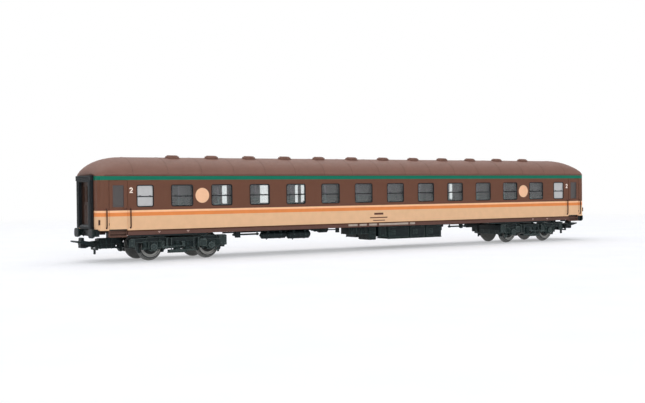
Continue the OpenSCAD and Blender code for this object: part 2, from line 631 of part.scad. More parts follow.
part("body_shell") body_shell();
part("roof") roof();
part("roof_vents") roof_vents();
part("glazing_near") glazing(-1);
part("glazing_far") glazing(1);
part("end_door_left") end_door(-1);
part("end_door_right") end_door(1);
part("gangway_left") gangway(-1);
part("gangway_right") gangway(1);
part("interior") interior();
part("ballast_weight") ballast_weight();
part("underframe") underframe();
part("steps_near_left") steps(-1, -1);
part("steps_near_right") steps(1, -1);
part("steps_far_left") steps(-1, 1);
part("steps_far_right") steps(1, 1);
part("buffer_near_left") buffer(-1, -1);
part("buffer_near_right") buffer(1, -1);
part("buffer_far_left") buffer(-1, 1);
part("buffer_far_right") buffer(1, 1);
part("air_tanks") air_tanks();
part("brake_rods") brake_rods();
part("battery_box") battery_box();
part("converter_box") converter_box();
part("switch_box") switch_box();
part("battery_box_far") battery_box_far();
part("bogie_pin_left") bogie_pin(-1);
part("bogie_pin_right") bogie_pin(1);
part("bogie_frame_left") at_bogie(-1) bogie_frame();
part("bogie_frame_right") at_bogie(1) bogie_frame();
part("bogie_brakes_left") at_bogie(-1) bogie_brakes();
part("bogie_brakes_right") at_bogie(1) bogie_brakes();
for (i = [0:3]) {
    part(str("axle_", i + 1)) axle(axle_xs[i]);
    part(str("wheels_", i + 1)) wheels(axle_xs[i]);
}
part("coupling_pin_left") coupling_pin(-1);
part("coupling_pin_right") coupling_pin(1);
part("coupling_arm_left") coupling_arm(-1);
part("coupling_arm_right") coupling_arm(1);
part("coupling_head_left") coupling_head(-1);
part("coupling_head_right") coupling_head(1);
part("coupling_loop_left") coupling_loop(-1);
part("coupling_loop_right") coupling_loop(1);
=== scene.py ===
import json
from itertools import product
from math import acos, cos, degrees, pi, radians, sin, sqrt

import bmesh
import bpy
from mathutils import Matrix, Vector


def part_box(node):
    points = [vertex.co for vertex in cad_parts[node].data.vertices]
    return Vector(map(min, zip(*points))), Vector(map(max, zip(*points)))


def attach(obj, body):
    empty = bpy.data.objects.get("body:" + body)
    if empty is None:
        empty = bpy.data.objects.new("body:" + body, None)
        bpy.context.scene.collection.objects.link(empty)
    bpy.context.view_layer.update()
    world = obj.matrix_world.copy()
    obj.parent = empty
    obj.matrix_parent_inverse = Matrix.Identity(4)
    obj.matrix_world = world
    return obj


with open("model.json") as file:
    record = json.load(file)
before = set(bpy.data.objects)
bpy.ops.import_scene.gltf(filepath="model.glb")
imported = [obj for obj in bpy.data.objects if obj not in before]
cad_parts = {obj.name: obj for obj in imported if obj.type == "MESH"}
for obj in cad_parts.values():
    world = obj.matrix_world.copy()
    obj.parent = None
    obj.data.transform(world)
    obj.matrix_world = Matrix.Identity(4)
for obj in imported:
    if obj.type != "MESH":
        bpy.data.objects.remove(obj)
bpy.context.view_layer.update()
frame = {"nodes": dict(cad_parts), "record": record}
NODES = frame["nodes"]

# Lengths are in mm, and heights are above the top of the rail, until Kit.make writes them in metres.
MM = 0.001
RAIL = 1.1              # top of the rail above the floor that the wheel flanges stand on
SIDES = ((-1, "near"), (1, "far"))
ENDS = ((-1, "left"), (1, "right"))


def corners(node):
    """Lowest and highest corner of a CAD node."""
    return [v / MM - Vector((0, 0, RAIL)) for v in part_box(node)]


def middle_x(node):
    lo, hi = corners(node)
    return (lo.x + hi.x) / 2


# ---- sizes of the CAD part
BODY_HALF, HALF_W, EAVES = corners("body_shell")[1]
ROOF_TOP = corners("roof")[1].z
END_HALF = 15.8         # half width of the end walls
TAPER = 13.8            # length of the tapered vestibules
CORNER = 3.0            # radius of the body's corners
END_RISE = 1.5          # rise of the roof left at the end walls
ROOF_END_L = 16.4       # length and fullness of the roof's sloping ends
ROOF_END_POWER = 2.1
ROOF_PITCH = 16.72      # between the joints of the roof's sheets
BAND = 13.4             # lower edge of the painted band
PITCH = 20.08           # between the compartment windows
WINDOWS = [(i - 5.5) * PITCH for i in range(12)]
WIN_W, WIN_H, WIN_Z, WIN_R = 11.0, 10.0, 28.55, 1.1
WC_X, WC_W = 128.35, 8.2
DOOR_X, DOOR_W, DOOR_WIN_W = 140.85, 8.4, 5.35
SEAT_TOP = 28.0
GANGWAY_OUT = 10.7      # half width of a gangway's top bead
FLOOR_Z = 13.38         # underside of the floor, just inside it, where hanging pieces end
MEMBER_PITCH = 14.6     # between the floor's cross members
BEAM_X = 149.95         # face of the buffer beams, just inside it
BUFFER_Z, BUFFER_Y = 12.07, 10.06
# each air tank's ends, axis and radius
TANKS = ((-67.2, -53.2, -10.6, 8.6, 1.75), (-52.4, -39.4, -10.4, 8.5, 2.1), (-54, -31, 9.8, 8.6, 1.9))
GRAB_RAILS = (135.35, 146.25)           # beside the entrance doors
LAMP_BRACKET_X = 149.3
NUMBER_X, NUMBER_Z, STROKE = 134.95, 31.1, 0.5      # the class number, and how thick it is
PRINT = (-0.02, 0.03)   # back and face of all print, out from the wall
PIVOT = middle_x("bogie_pin_right")
AXLES = [middle_x(f"axle_{i}") for i in (1, 2, 3, 4)]
HALF_BASE = (AXLES[1] - AXLES[0]) / 2
TREAD = 5.3             # radius of the wheels' tread, which is also the height of the axles
WHEEL_FACE = corners("wheels_1")[1].y
FRAME_FACE = 12.4       # outer face of a bogie's side frames


def side_y(x):
    """Half width of the body at x: straight, then tapered, with round corners at the ends."""
    taper = max(0.0, abs(x) - (BODY_HALF - TAPER)) * (HALF_W - END_HALF) / TAPER
    over = min(max(abs(x) - (BODY_HALF - CORNER), 0.0), CORNER)
    return HALF_W - taper - (CORNER - sqrt(CORNER ** 2 - over ** 2))


def rise(x):
    """Rise of the roof above the eaves at x."""
    over = min(max(abs(x) - (BODY_HALF - ROOF_END_L), 0) / ROOF_END_L, 1)
    return END_RISE + (ROOF_TOP - EAVES - END_RISE) * (1 - over ** ROOF_END_POWER) ** (1 / ROOF_END_POWER)


def roof_point(x, turn, out=0.0):
    """Point on the roof at x, turn degrees round from the near eaves, standing out by out."""
    a, b = side_y(x), rise(x)
    c, s = cos(radians(turn)), sin(radians(turn))
    normal = Vector((0, -c / a, s / b)).normalized()
    return Vector((x, -a * c, EAVES + b * s)) + normal * out


def on_wall(side, x, z, out):
    """Point that stands out from a side wall by out."""
    return Vector((x, side * (side_y(x) + out), z))


def wall_loop(side, x, z, outline, out):
    """An outline of x and z offsets, laid on a side wall round (x, z)."""
    return [on_wall(side, x + px, z + pz, out) for px, pz in outline]


def rounded(w, h, r, steps=5):
    """Outline of a w by h rectangle with round corners."""
    out = []
    for cx, cz, start in ((1, 1, 0), (-1, 1, 90), (-1, -1, 180), (1, -1, 270)):
        for i in range(steps + 1):
            a = radians(start + 90 * i / steps)
            out.append((cx * (w / 2 - r) + r * cos(a), cz * (h / 2 - r) + r * sin(a)))
    return out


# ---- materials
def colour(text):
    """A colour written as six hex digits, made linear."""
    out = []
    for i in (0, 2, 4):
        c = int(text[i:i + 2], 16) / 255
        out.append(c / 12.92 if c <= 0.04045 else ((c + 0.055) / 1.055) ** 2.4)
    return (*out, 1.0)


def shade(c, k):
    return tuple(min(1.0, v * k) for v in c[:3]) + (1.0,)


class Tree:
    """A node material on one Principled shader. Its lengths are in mm, but for noise and bump."""

    def __init__(self, name, **sockets):
        self.mat = bpy.data.materials.new(name)
        self.mat.use_nodes = True
        self.nt = self.mat.node_tree
        self.nt.nodes.clear()
        self.out = self.node("OutputMaterial")
        self.bsdf = self.node("BsdfPrincipled")
        self.put(self.bsdf.outputs[0], self.out.inputs["Surface"])
        self.set(**sockets)
        self.coord = self.node("TexCoord").outputs["Object"]
        self.split = self.node("SeparateXYZ")
        self.put(self.coord, self.split.inputs[0])

    def node(self, kind, **inputs):
        """A new node, with its inputs given by name."""
        n = self.nt.nodes.new("ShaderNode" + kind)
        for name, value in inputs.items():
            self.put(value, n.inputs[name])
        return n

    def put(self, value, sock):
        """Links a socket to sock, or sets sock to a plain value."""
        if isinstance(value, bpy.types.NodeSocket):
            self.nt.links.new(value, sock)
        else:
            sock.default_value = value

    def set(self, **sockets):
        for name, value in sockets.items():
            self.put(value, self.bsdf.inputs[name.replace("_", " ")])

    def noise(self, scale, detail, stretch=None):
        place = self.coord
        if stretch:
            place = self.node("Mapping", Scale=stretch, Vector=place).outputs[0]
        return self.node("TexNoise", Scale=scale, Detail=detail, Roughness=0.55, Vector=place).outputs[0]

    def math(self, op, a, b=0.0):
        n = self.node("Math")
        n.operation = op
        self.put(a, n.inputs[0])
        self.put(b, n.inputs[1])
        return n.outputs[0]

    def mm(self, index):
        """One coordinate on the object, in mm."""
        v = self.math("MULTIPLY", self.split.outputs[index], 1000.0)
        return self.math("SUBTRACT", v, RAIL) if index == 2 else v

    def remap(self, v, lo, hi, to_lo=0.0, to_hi=1.0):
        n = self.node("MapRange")
        n.clamp = True
        for i, x in enumerate((v, lo, hi, to_lo, to_hi)):
            self.put(x, n.inputs[i])
        return n.outputs[0]

    def uneven(self, lo, hi, scale, detail=3, stretch=None):
        """A number that wanders between lo and hi over the surface."""
        return self.remap(self.noise(scale, detail, stretch), 0.3, 0.7, lo, hi)

    def above(self, v, level, soft=0.03):
        return self.remap(v, level - soft, level + soft)

    def below(self, v, level, soft=0.03):
        return self.math("SUBTRACT", 1.0, self.above(v, level, soft))

    def both(self, a, b):
        return self.math("MULTIPLY", a, b)

    def mix(self, fac, a, b):
        n = self.node("Mix")
        n.data_type = "RGBA"
        for sock, v in ((n.inputs[0], fac), (n.inputs[6], a), (n.inputs[7], b)):
            self.put(v, sock)
        return n.outputs[2]

    def blotch(self, base, amount, scale=420):
        """The base colour, a little lighter and darker from place to place."""
        f = self.uneven(0.0, 1.0, scale, 4)
        if isinstance(base, tuple):
            return self.mix(f, shade(base, 1 - amount), shade(base, 1 + amount))
        value = self.remap(f, 0, 1, 1 - amount, 1 + amount)
        return self.node("HueSaturation", Color=base, Value=value).outputs[0]

    def bump(self, height, strength, distance):
        n = self.node("Bump", Strength=strength, Distance=distance, Height=height)
        self.put(n.outputs[0], self.bsdf.inputs["Normal"])

    def rubbed_highlit_edges(self, base, edge_colour, amount):
        """The base colour, lighter along the edges: partly rubbed, partly a painted highlight."""
        bevel = self.node("Bevel", Radius=0.25 * MM)
        bevel.samples = 4
        dot = self.node("VectorMath")
        dot.operation = "DOT_PRODUCT"
        self.put(bevel.outputs[0], dot.inputs[0])
        self.put(self.node("NewGeometry").outputs["Normal"], dot.inputs[1])
        edge = self.remap(dot.outputs["Value"], 0.995, 0.9)
        return self.mix(self.both(edge, amount), base, edge_colour)


def plastic(name, text, rough, vary, grain, bump, edge=None, edge_rub_highlight=0.5):
    """Moulded plastic: a little uneven, finely grained and, with an edge colour, lighter there, partly rubbed
    and partly a painted highlight.
    """
    t = Tree(name)
    col = t.blotch(colour(text), vary)
    if edge:
        # lighter edges: rubbing and painted highlight
        col = t.rubbed_highlit_edges(col, colour(edge), edge_rub_highlight)
    t.set(Base_Color=col, Roughness=t.uneven(rough - 0.05, rough + 0.07, 900), Specular_IOR_Level=0.25)
    t.bump(t.noise(grain, 2), bump, 0.02 * MM)
    return t.mat


BROWN = "694433"
SOLE_BAR = "60433a"
# the livery from the sole bar up: a painted shadow line under the body's lower edge, cream, orange, peach,
# brown, green and brown again
STRIPES = ((BAND - 0.62, "482714"), (BAND - 0.1, "e6ba90"), (19.62, "e58a4a"), (21.28, "fbc497"),
           (22.21, BROWN), (35.68, "006e55"), (EAVES - 0.12, BROWN))


def livery():
    t = Tree("body_livery")
    x, y = t.math("ABSOLUTE", t.mm(0)), t.math("ABSOLUTE", t.mm(1))
    z = t.mm(2)
    col = colour(SOLE_BAR)
    for level, text in STRIPES:
        # the lowest stripe, 482714, is a painted shadow under the body's lower edge
        col = t.mix(t.above(z, level), col, colour(text))
    # the stripes run round the corners, and the end walls are dark behind the gangways
    end = t.both(t.above(x, BODY_HALF - 1.15, 0.05), t.below(y, GANGWAY_OUT, 0.1))
    col = t.mix(end, col, colour("2c1f19"))
    # inside the shell the plastic is unpainted
    inner = t.both(t.below(y, HALF_W - 0.95, 0.05), t.below(x, BODY_HALF - TAPER - 0.5))
    col = t.mix(inner, col, colour("4a3a33"))
    t.set(Base_Color=t.blotch(col, 0.035, 300), Roughness=t.uneven(0.42, 0.52, 700), Specular_IOR_Level=0.2)
    t.bump(t.noise(5200, 2), 0.12, 0.02 * MM)
    return t.mat


def roof_finish():
    t = Tree("roof_grey_brown")
    # a thin shade line at each joint
    near = t.math("PINGPONG", t.mm(0), ROOF_PITCH / 2)
    line = t.math("SUBTRACT", 1.0, t.remap(near, 0.05, 0.5))
    col = t.mix(t.both(line, 0.2), t.blotch(colour("7a574a"), 0.05, 240), colour("4f3a31"))
    t.set(Base_Color=col, Roughness=t.uneven(0.5, 0.62, 800), Specular_IOR_Level=0.35)
    t.bump(t.noise(4200, 3), 0.16, 0.03 * MM)
    return t.mat


def glazing_finish():
    """Clear strip, frosted at the toilet windows and dark behind the entrance doors' panes."""
    t = Tree("window_plastic")
    x = t.math("ABSOLUTE", t.mm(0))
    frosted = t.both(t.above(x, WC_X - 5.4), t.below(x, WC_X + 5.4))
    door = t.above(x, DOOR_X - DOOR_W / 2 - 0.2)
    streak = t.noise(500, 3, stretch=(1, 1, 0.35))
    col = t.mix(t.remap(streak, 0.3, 0.7), colour("eef3f3"), colour("f8fafa"))
    col = t.mix(frosted, col, t.blotch(colour("c6c6c4"), 0.04, 900))
    col = t.mix(door, col, t.blotch(colour("4d4846"), 0.05, 700))
    solid = t.math("MAXIMUM", frosted, door)
    rough = t.math("ADD", t.remap(solid, 0, 1, 0.03, 0.42), t.remap(streak, 0.3, 0.7, 0.0, 0.02))
    t.set(Base_Color=col, Transmission_Weight=t.remap(solid, 0, 1, 0.96, 0.12), Roughness=rough, IOR=1.46)
    t.bump(t.noise(1500, 1), 0.03, 0.01 * MM)
    return t.mat


def interior_finish():
    """Moulded compartments: green seats and lower walls, greyer above."""
    t = Tree("interior_plastic")
    col = t.mix(t.above(t.mm(2), SEAT_TOP, 1.2), colour("42605e"), colour("6a606b"))
    t.set(Base_Color=t.blotch(col, 0.07, 500), Roughness=t.uneven(0.55, 0.68, 900), Specular_IOR_Level=0.25)
    t.bump(t.noise(3600, 2), 0.3, 0.03 * MM)
    return t.mat


def wheel_finish(number, axle_x):
    """Dark wheel disc with a turned metal rim, flange and tread, with a band of painted shade between rim and
    flange; the back is plain.
    """
    t = Tree(f"wheel_metal_{number}")
    dx, dz = t.math("SUBTRACT", t.mm(0), axle_x), t.math("SUBTRACT", t.mm(2), TREAD)
    r = t.math("SQRT", t.math("ADD", t.both(dx, dx), t.both(dz, dz)))
    front = t.above(t.math("ABSOLUTE", t.mm(1)), WHEEL_FACE - 1.0)
    ring = t.both(t.above(r, TREAD - 1.75, 0.08), t.below(r, TREAD - 0.5, 0.08))
    # between the ring and the flange the dark disc colour is left as a band of painted shade at the tread's
    # edge
    bright = t.math("MAXIMUM", t.above(r, TREAD - 0.05, 0.05), t.both(ring, 0.75))
    back = t.both(t.math("SUBTRACT", 1.0, front), 0.5)
    rim = t.math("MAXIMUM", t.both(front, bright), back)
    turning = t.math("SINE", t.both(r, 60.0))
    metal = t.blotch(t.mix(t.remap(turning, -1, 1), colour("9a9a96"), colour("b2b2ae")), 0.08, 900)
    disc = t.blotch(colour("181d1d"), 0.12, 700)
    rough = t.math("ADD", t.remap(rim, 0, 1, 0.52, 0.36), t.uneven(-0.04, 0.06, 1200))
    t.set(Base_Color=t.mix(rim, disc, metal), Metallic=t.remap(rim, 0, 1, 0.0, 0.75), Roughness=rough)
    t.bump(turning, 0.10, 0.02 * MM)
    return t.mat


def turned_steel(name, text, rough):
    t = Tree(name, Metallic=0.9)
    t.set(Base_Color=t.blotch(colour(text), 0.1, 700),
          Roughness=t.uneven(rough - 0.07, rough + 0.08, 600, stretch=(1, 1, 12)))
    t.bump(t.noise(3000, 2, stretch=(1, 8, 1)), 0.12, 0.02 * MM)
    return t.mat


MATS = {
    "livery": livery(), "roof": roof_finish(), "window": glazing_finish(), "interior": interior_finish(),
    "frame": plastic("underframe_black", "0b191b", 0.5, 0.12, 7000, 0.2, "425450", 0.8),
    "frame_dark": plastic("underframe_darker", "0a0f10", 0.55, 0.10, 7000, 0.2, "2c3433", 0.6),
    # a lighter copy of the underframe black: painted highlight on the bogies' lips, covers and rods, its
    # edges lighter still
    "frame_highlight_and_rub": plastic("underframe_highlight_and_rub", "2a3635", 0.45, 0.12, 7000, 0.2, "6a7672", 0.8),
    "rubber": plastic("gangway_rubber", "12171a", 0.62, 0.10, 5200, 0.3, "2c3436"),
    "door": plastic("door_brown", "351e10", 0.45, 0.06, 6000, 0.12, "50321f"),
    "step": plastic("step_brown", "5c4136", 0.5, 0.08, 6000, 0.15, "7c5d50"),
    "gasket": plastic("window_gasket", "0d1012", 0.5, 0.08, 9000, 0.15, "22282a"),
    "bar": plastic("window_bar", "14191c", 0.4, 0.05, 9000, 0.1, "33393d"),
    "rail": plastic("handrail_brown", "371b10", 0.42, 0.05, 9000, 0.1, "553426"),
    "trim": plastic("drip_strip_brown", "5a3c33", 0.5, 0.05, 6000, 0.1, "7a5c52"),
    "print": plastic("print_peach", "f3c199", 0.5, 0.03, 9000, 0.08),
    "pale": plastic("print_white", "b0a294", 0.5, 0.12, 3000, 0.08),
    "digit": plastic("print_cream", "fbe9d8", 0.5, 0.03, 9000, 0.08),
    "mark": plastic("print_faded", "b3968a", 0.5, 0.06, 9000, 0.08),
    "ink": plastic("print_brown", "5d3a2e", 0.5, 0.04, 9000, 0.08),
    "steel": turned_steel("pin_steel", "7d7d7e", 0.35),
    "weight": turned_steel("weight_steel", "8b8b88", 0.45),
    "steel_dark": turned_steel("bridge_plate_steel", "55585a", 0.5),
}


# ---- mesh making
def link(name, data):
    o = bpy.data.objects.new(name, data)
    bpy.context.scene.collection.objects.link(o)
    return o


def turned(k, a, b, c):
    """Three numbers whose entries k, k + 1 and k + 2, counted round, are a, b and c."""
    out = [0, 0, 0]
    out[k], out[(k + 1) % 3], out[(k + 2) % 3] = a, b, c
    return tuple(out)


class Kit:
    """Collects one piece's mesh, placed by the matrix at."""

    def __init__(self, at=None):
        self.verts, self.faces, self.at = [], [], at or Matrix.Identity(4)

    def add(self, verts, faces):
        n = len(self.verts)
        self.verts += [self.at @ Vector(v) for v in verts]
        self.faces += [tuple(n + i for i in f) for f in faces]

    def box(self, a, b, c=0.08):
        """A box between two opposite corners, with all its edges chamfered by c."""
        mid = [(p + q) / 2 for p, q in zip(a, b)]
        half = [abs(p - q) / 2 for p, q in zip(a, b)]
        c = min(c, min(half) * 0.45)
        verts, index, faces = [], {}, []
        for s in product((-1, 1), repeat=3):
            for k in range(3):
                index[s, k] = len(verts)
                verts.append([mid[i] + s[i] * (half[i] if i == k else half[i] - c) for i in range(3)])
        for k in range(3):
            i, j = (k + 1) % 3, (k + 2) % 3
            for end in (-1, 1):
                square = ((-1, -1), (1, -1), (1, 1), (-1, 1))
                faces.append([index[turned(k, end, p, q), k] for p, q in square])
            for p, q in product((-1, 1), repeat=2):
                lo, hi = turned(k, -1, p, q), turned(k, 1, p, q)
                faces.append([index[lo, i], index[hi, i], index[hi, j], index[lo, j]])
        for s in product((-1, 1), repeat=3):
            faces.append([index[s, k] for k in range(3)])
        self.add(verts, faces)

    def loft(self, loops, closed=True, caps=True):
        """A skin over loops of as many points each."""
        n = len(loops[0])
        faces = []
        for r in range(len(loops) - 1):
            for i in range(n if closed else n - 1):
                j = (i + 1) % n
                faces.append((r * n + i, r * n + j, (r + 1) * n + j, (r + 1) * n + i))
        if caps:
            faces += [tuple(range(n)), tuple((len(loops) - 1) * n + i for i in range(n))]
        self.add([p for loop in loops for p in loop], faces)

    def frame(self, loops):
        """A ring of loops, the last joined to the first."""
        self.loft(loops + loops[:1], caps=False)

    def lathe(self, profile, centre, axis, n, sign=1):
        """A profile of (radius, distance along the axis), turned about the axis through centre."""
        centre, loops = Vector(centre), []
        for r, h in profile:
            loops.append([])
            for i in range(n):
                a = 2 * pi * i / n
                u, v, d = r * cos(a), r * sin(a), sign * h
                offset = {"x": (d, u, v), "y": (v, d, u), "z": (u, v, d)}[axis]
                loops[-1].append(centre + Vector(offset))
        self.loft(loops)

    def tube(self, points, r, n=10):
        """A round bar of radius r along points."""
        pts = [Vector(p) for p in points]
        turns = [2 * pi * k / n for k in range(n)]
        loops, side = [], None
        for i, p in enumerate(pts):
            t = (pts[min(i + 1, len(pts) - 1)] - pts[max(i - 1, 0)]).normalized()
            side = side or t.orthogonal()
            side = (side - t * side.dot(t)).normalized()
            up = t.cross(side)
            loops.append([p + (side * cos(a) + up * sin(a)) * r for a in turns])
        self.loft(loops)

    def spring(self, centre, z0, z1, radius, wire, turns):
        """An upright coil spring round centre, of 16 points a turn."""
        steps = int(turns * 16)
        points = []
        for i in range(steps + 1):
            a = 2 * pi * i / 16
            points.append((centre[0] + radius * cos(a), centre[1] + radius * sin(a),
                           z0 + (z1 - z0) * i / steps))
        self.tube(points, wire, 7)

    def prism(self, outline, axis, a, b):
        """An outline of two coordinates, pushed along y or z from a to b."""
        self.loft([[(p, d, q) if axis == "y" else (p, q, d) for p, q in outline] for d in (a, b)])

    def bolt(self, centre, axis, r, h, sign):
        """A six-sided bolt head."""
        self.lathe([(r, 0), (r, h * 0.7), (r * 0.75, h)], centre, axis, 6, sign)

    def make(self, name, mat, slot, bevel=0.0, body="coach"):
        """The finished piece, smooth but for its sharp edges, on its body."""
        mesh = bpy.data.meshes.new(name)
        mesh.from_pydata([(v + Vector((0, 0, RAIL))) * MM for v in self.verts], [], self.faces)
        bm = bmesh.new()
        bm.from_mesh(mesh)
        bmesh.ops.recalc_face_normals(bm, faces=bm.faces)
        for e in bm.edges:
            e.smooth = len(e.link_faces) == 2 and e.calc_face_angle(0) < radians(35)
        for f in bm.faces:
            f.smooth = True
        bm.to_mesh(mesh)
        bm.free()
        mesh.materials.append(MATS[mat])
        o = link(name, mesh)
        if bevel:
            mod = o.modifiers.new("edges", "BEVEL")
            mod.width, mod.segments, mod.limit_method = bevel * MM, 2, "ANGLE"
            mod.angle_limit = radians(40)
            mod.harden_normals = True
        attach(o, body)


class Face:
    """An upright face across x or y. Distances d grow out of it, and places a lie along it."""

    def __init__(self, axis, at, sign, chamfer=0.08):
        self.axis, self.at, self.sign, self.chamfer = axis, at, sign, chamfer

    def out(self, d):
        return self.at + self.sign * d

    def point(self, a, z, d):
        return (self.out(d), a, z) if self.axis == "x" else (a, self.out(d), z)

    def slab(self, kit, a0, a1, z0, z1, d0, d1, c=0):
        kit.box(self.point(a0, z0, d0), self.point(a1, z1, d1), c or self.chamfer)

    def lathe(self, kit, a, z, d, profile, n=14):
        kit.lathe(profile, self.point(a, z, d), self.axis, n, self.sign)

    def bolt(self, kit, a, z, d, r=0.32, h=0.22):
        kit.bolt(self.point(a, z, d), self.axis, r, h, self.sign)


# ---- camera, light, floor
def make_camera():
    """The camera that took the photograph, as fitted to the coach's known sizes."""
    yaw, pitch, roll = (radians(a) for a in (31.695, -0.706, -0.592))
    forward = Vector((sin(yaw) * cos(pitch), cos(yaw) * cos(pitch), sin(pitch)))
    right = Vector((cos(yaw), -sin(yaw), 0))
    up = right.cross(forward)
    right, up = right * cos(roll) + up * sin(roll), up * cos(roll) - right * sin(roll)
    turn = Matrix((right, up, -forward)).transposed().to_4x4()
    cam = link("camera", bpy.data.cameras.new("camera"))
    cam.matrix_world = Matrix.Translation((-0.28729, -0.42483, 0.03051 + RAIL * MM)) @ turn
    cam.data.sensor_width = 36
    cam.data.lens = 53.68
    cam.data.clip_start = 0.01
    bpy.context.scene.camera = cam


def floor_finish():
    """Pale floor. Far from the coach it glows, so the backdrop is white; near it a little glow stays, painted
    light that makes the coach's shadow fainter.
    """
    t = Tree("floor_white", Roughness=0.95, Specular_IOR_Level=0.1)
    grain = t.noise(40, 2)
    t.set(Base_Color=t.mix(t.remap(grain, 0.3, 0.7), colour("f3f5fa"), colour("f8f9fd")))
    glow = t.node("Emission", Color=(1, 1, 1, 1), Strength=1.0)
    ray = t.node("LightPath").outputs
    mirrored = t.math("MAXIMUM", ray["Is Glossy Ray"], ray["Is Transmission Ray"])
    seen = t.math("MAXIMUM", ray["Is Camera Ray"], mirrored)
    x, y = t.split.outputs[0], t.split.outputs[1]
    away = t.math("SQRT", t.math("ADD", t.math("POWER", x, 2.0), t.math("POWER", y, 2.0)))
    mixer = t.node("MixShader")
    # near the coach the glow is mixed in at 0.36: painted light lifting the coach's shadow
    t.put(t.both(seen, t.remap(away, 0.30, 0.75, 0.36, 1.0)), mixer.inputs[0])
    t.put(t.bsdf.outputs[0], mixer.inputs[1])
    t.put(glow.outputs[0], mixer.inputs[2])
    t.put(mixer.outputs[0], t.out.inputs["Surface"])
    return t.mat


def make_floor():
    """A round floor that curves up into a backdrop on every side, in metres."""
    flat, bend, top, n = 2.0, 0.9, 3.4, 64
    rings = [(0.02, 0.0), (flat, 0.0)]
    for angle in range(10, 91, 10):
        a = radians(angle)
        rings.append((flat + bend * sin(a), bend - bend * cos(a)))
    rings.append((flat + bend, top))
    mesh = bpy.data.meshes.new("floor")
    bm = bmesh.new()
    rows = []
    for r, z in rings:
        turns = [2 * pi * i / n for i in range(n)]
        rows.append([bm.verts.new((r * cos(a), r * sin(a), z)) for a in turns])
    bm.faces.new(rows[0])
    for a, b in zip(rows, rows[1:]):
        for i in range(n):
            j = (i + 1) % n
            bm.faces.new((a[i], b[i], b[j], a[j]))
    for f in bm.faces:
        f.smooth = True
    bm.to_mesh(mesh)
    bm.free()
    mesh.materials.append(floor_finish())
    link("floor", mesh)


def lamp(name, place, aim, power, width, depth):
    data = bpy.data.lights.new(name, "AREA")
    data.shape = "RECTANGLE"
    data.size, data.size_y, data.energy = width, depth, power
    o = link(name, data)
    o.location = place
    o.rotation_euler = (Vector(aim) - Vector(place)).to_track_quat("-Z", "Y").to_euler()


def make_light():
    lamp("lamp_top", (0.0, 0.25, 0.85), (0, 0, 0), 5.2, 1.5, 0.9)
    lamp("lamp_front", (-0.35, -1.0, 0.5), (0, 0, 0.03), 4.6, 1.2, 0.8)
    world = bpy.data.worlds.new("world")
    bpy.context.scene.world = world
    world.use_nodes = True
    sky = world.node_tree.nodes["Background"].inputs
    sky["Color"].default_value = (1, 1, 1, 1)
    sky["Strength"].default_value = 0.68
    bpy.context.scene.view_settings.view_transform = "Standard"


# ---- finishes of the CAD pieces
FINISH = {"body_paint": "livery", "roof_paint": "roof", "clear_window": "window", "rubber_black": "rubber",
          "frame_black": "frame", "door_brown": "door", "interior_plastic": "interior",
          "weight_steel": "weight", "pin_steel": "steel"}


def finish_nodes():
    """Every CAD node's material, by its slot; the steps are lighter than the doors."""
    for sub in frame["record"]["subparts"]:
        name, slot = sub["node"], sub["material_slot"]
        if slot == "wheel_steel":
            number = int(name[-1])
            mat = wheel_finish(number, AXLES[number - 1])
        elif name.startswith("steps_"):
            mat = MATS["step"]
        else:
            mat = MATS[FINISH[slot]]
        node = NODES[name]
        node.data.materials.clear()
        node.data.materials.append(mat)
        if name in ("roof", "roof_vents"):
            weld = node.modifiers.new("weld", "WELD")
            weld.merge_threshold = 0.004 * MM
            for p in node.data.polygons:
                p.use_smooth = True


# ---- body sides
def wall_ring(kit, side, x, z, size, r, width, out, sunk):
    """A frame round an opening: proud of the wall by out, reaching sunk into the opening."""
    w, h = size
    section = ((0, -0.02), (0, out * 0.6), (width * 0.2, out), (width * 0.8, out),
               (width, out * 0.5), (width, -sunk))
    loops = []
    for inset, depth in section:
        outline = rounded(w - 2 * inset, h - 2 * inset, max(r - inset, 0.15))
        loops.append(wall_loop(side, x, z, outline, depth))
    back = rounded(w - 2 * width + 0.5, h - 2 * width + 0.5, r)
    loops.append(wall_loop(side, x, z, back, -sunk))
    kit.frame(loops)


def window(gaskets, bars, side, x, w):
    """A compartment window: its gasket, and the sash bar with the drop light above it."""
    wall_ring(gaskets, side, x, WIN_Z, (w, WIN_H), WIN_R, 0.46, 0.08, 0.26)
    inner = w / 2 - 0.1
    bars.box(on_wall(side, x - inner, 28.02, -0.3), on_wall(side, x + inner, 28.44, -0.04), 0.06)
    for u in (-1, 1):
        foot = on_wall(side, x + u * (inner - 0.30), 28.4, -0.3)
        head = on_wall(side, x + u * (inner - 0.06), WIN_Z + WIN_H / 2 - 0.3, -0.12)
        bars.box(foot, head, 0.04)
    for u in (-0.28, 0.28):                 # small handles
        h = on_wall(side, x + u * w, 28.62, -0.2)
        bars.box(h - Vector((0.45, 0, 0.08)), h + Vector((0.45, side * 0.14, 0.1)), 0.03)


def entrance_door(trim, rails, side, s):
    """Frame of the door's pane, hinges and handle."""
    wall_ring(trim, side, s * DOOR_X, WIN_Z, (DOOR_WIN_W, WIN_H), 0.55, 0.22, 0.05, 0.22)
    for z in (16.2, 24.8, 33.6):
        hinge = on_wall(side, s * (DOOR_X + DOOR_W / 2 + 0.02), z, 0.02)
        trim.lathe([(0, -0.5), (0.13, -0.5), (0.13, 0.5), (0, 0.5)], hinge, "z", 8)
    h = on_wall(side, s * (DOOR_X - DOOR_W / 2 + 0.75), 22.9, 0)
    rails.lathe([(0.34, -0.05), (0.34, 0.06), (0.26, 0.1)], h, "y", 16, side)
    path = ((0, 0.05, 0), (0, 0.3, 0), (0.3, 0.34, -0.02), (1.3, 0.34, -0.08))
    rails.tube([h + Vector((s * a, side * b, c)) for a, b, c in path], 0.1, 8)


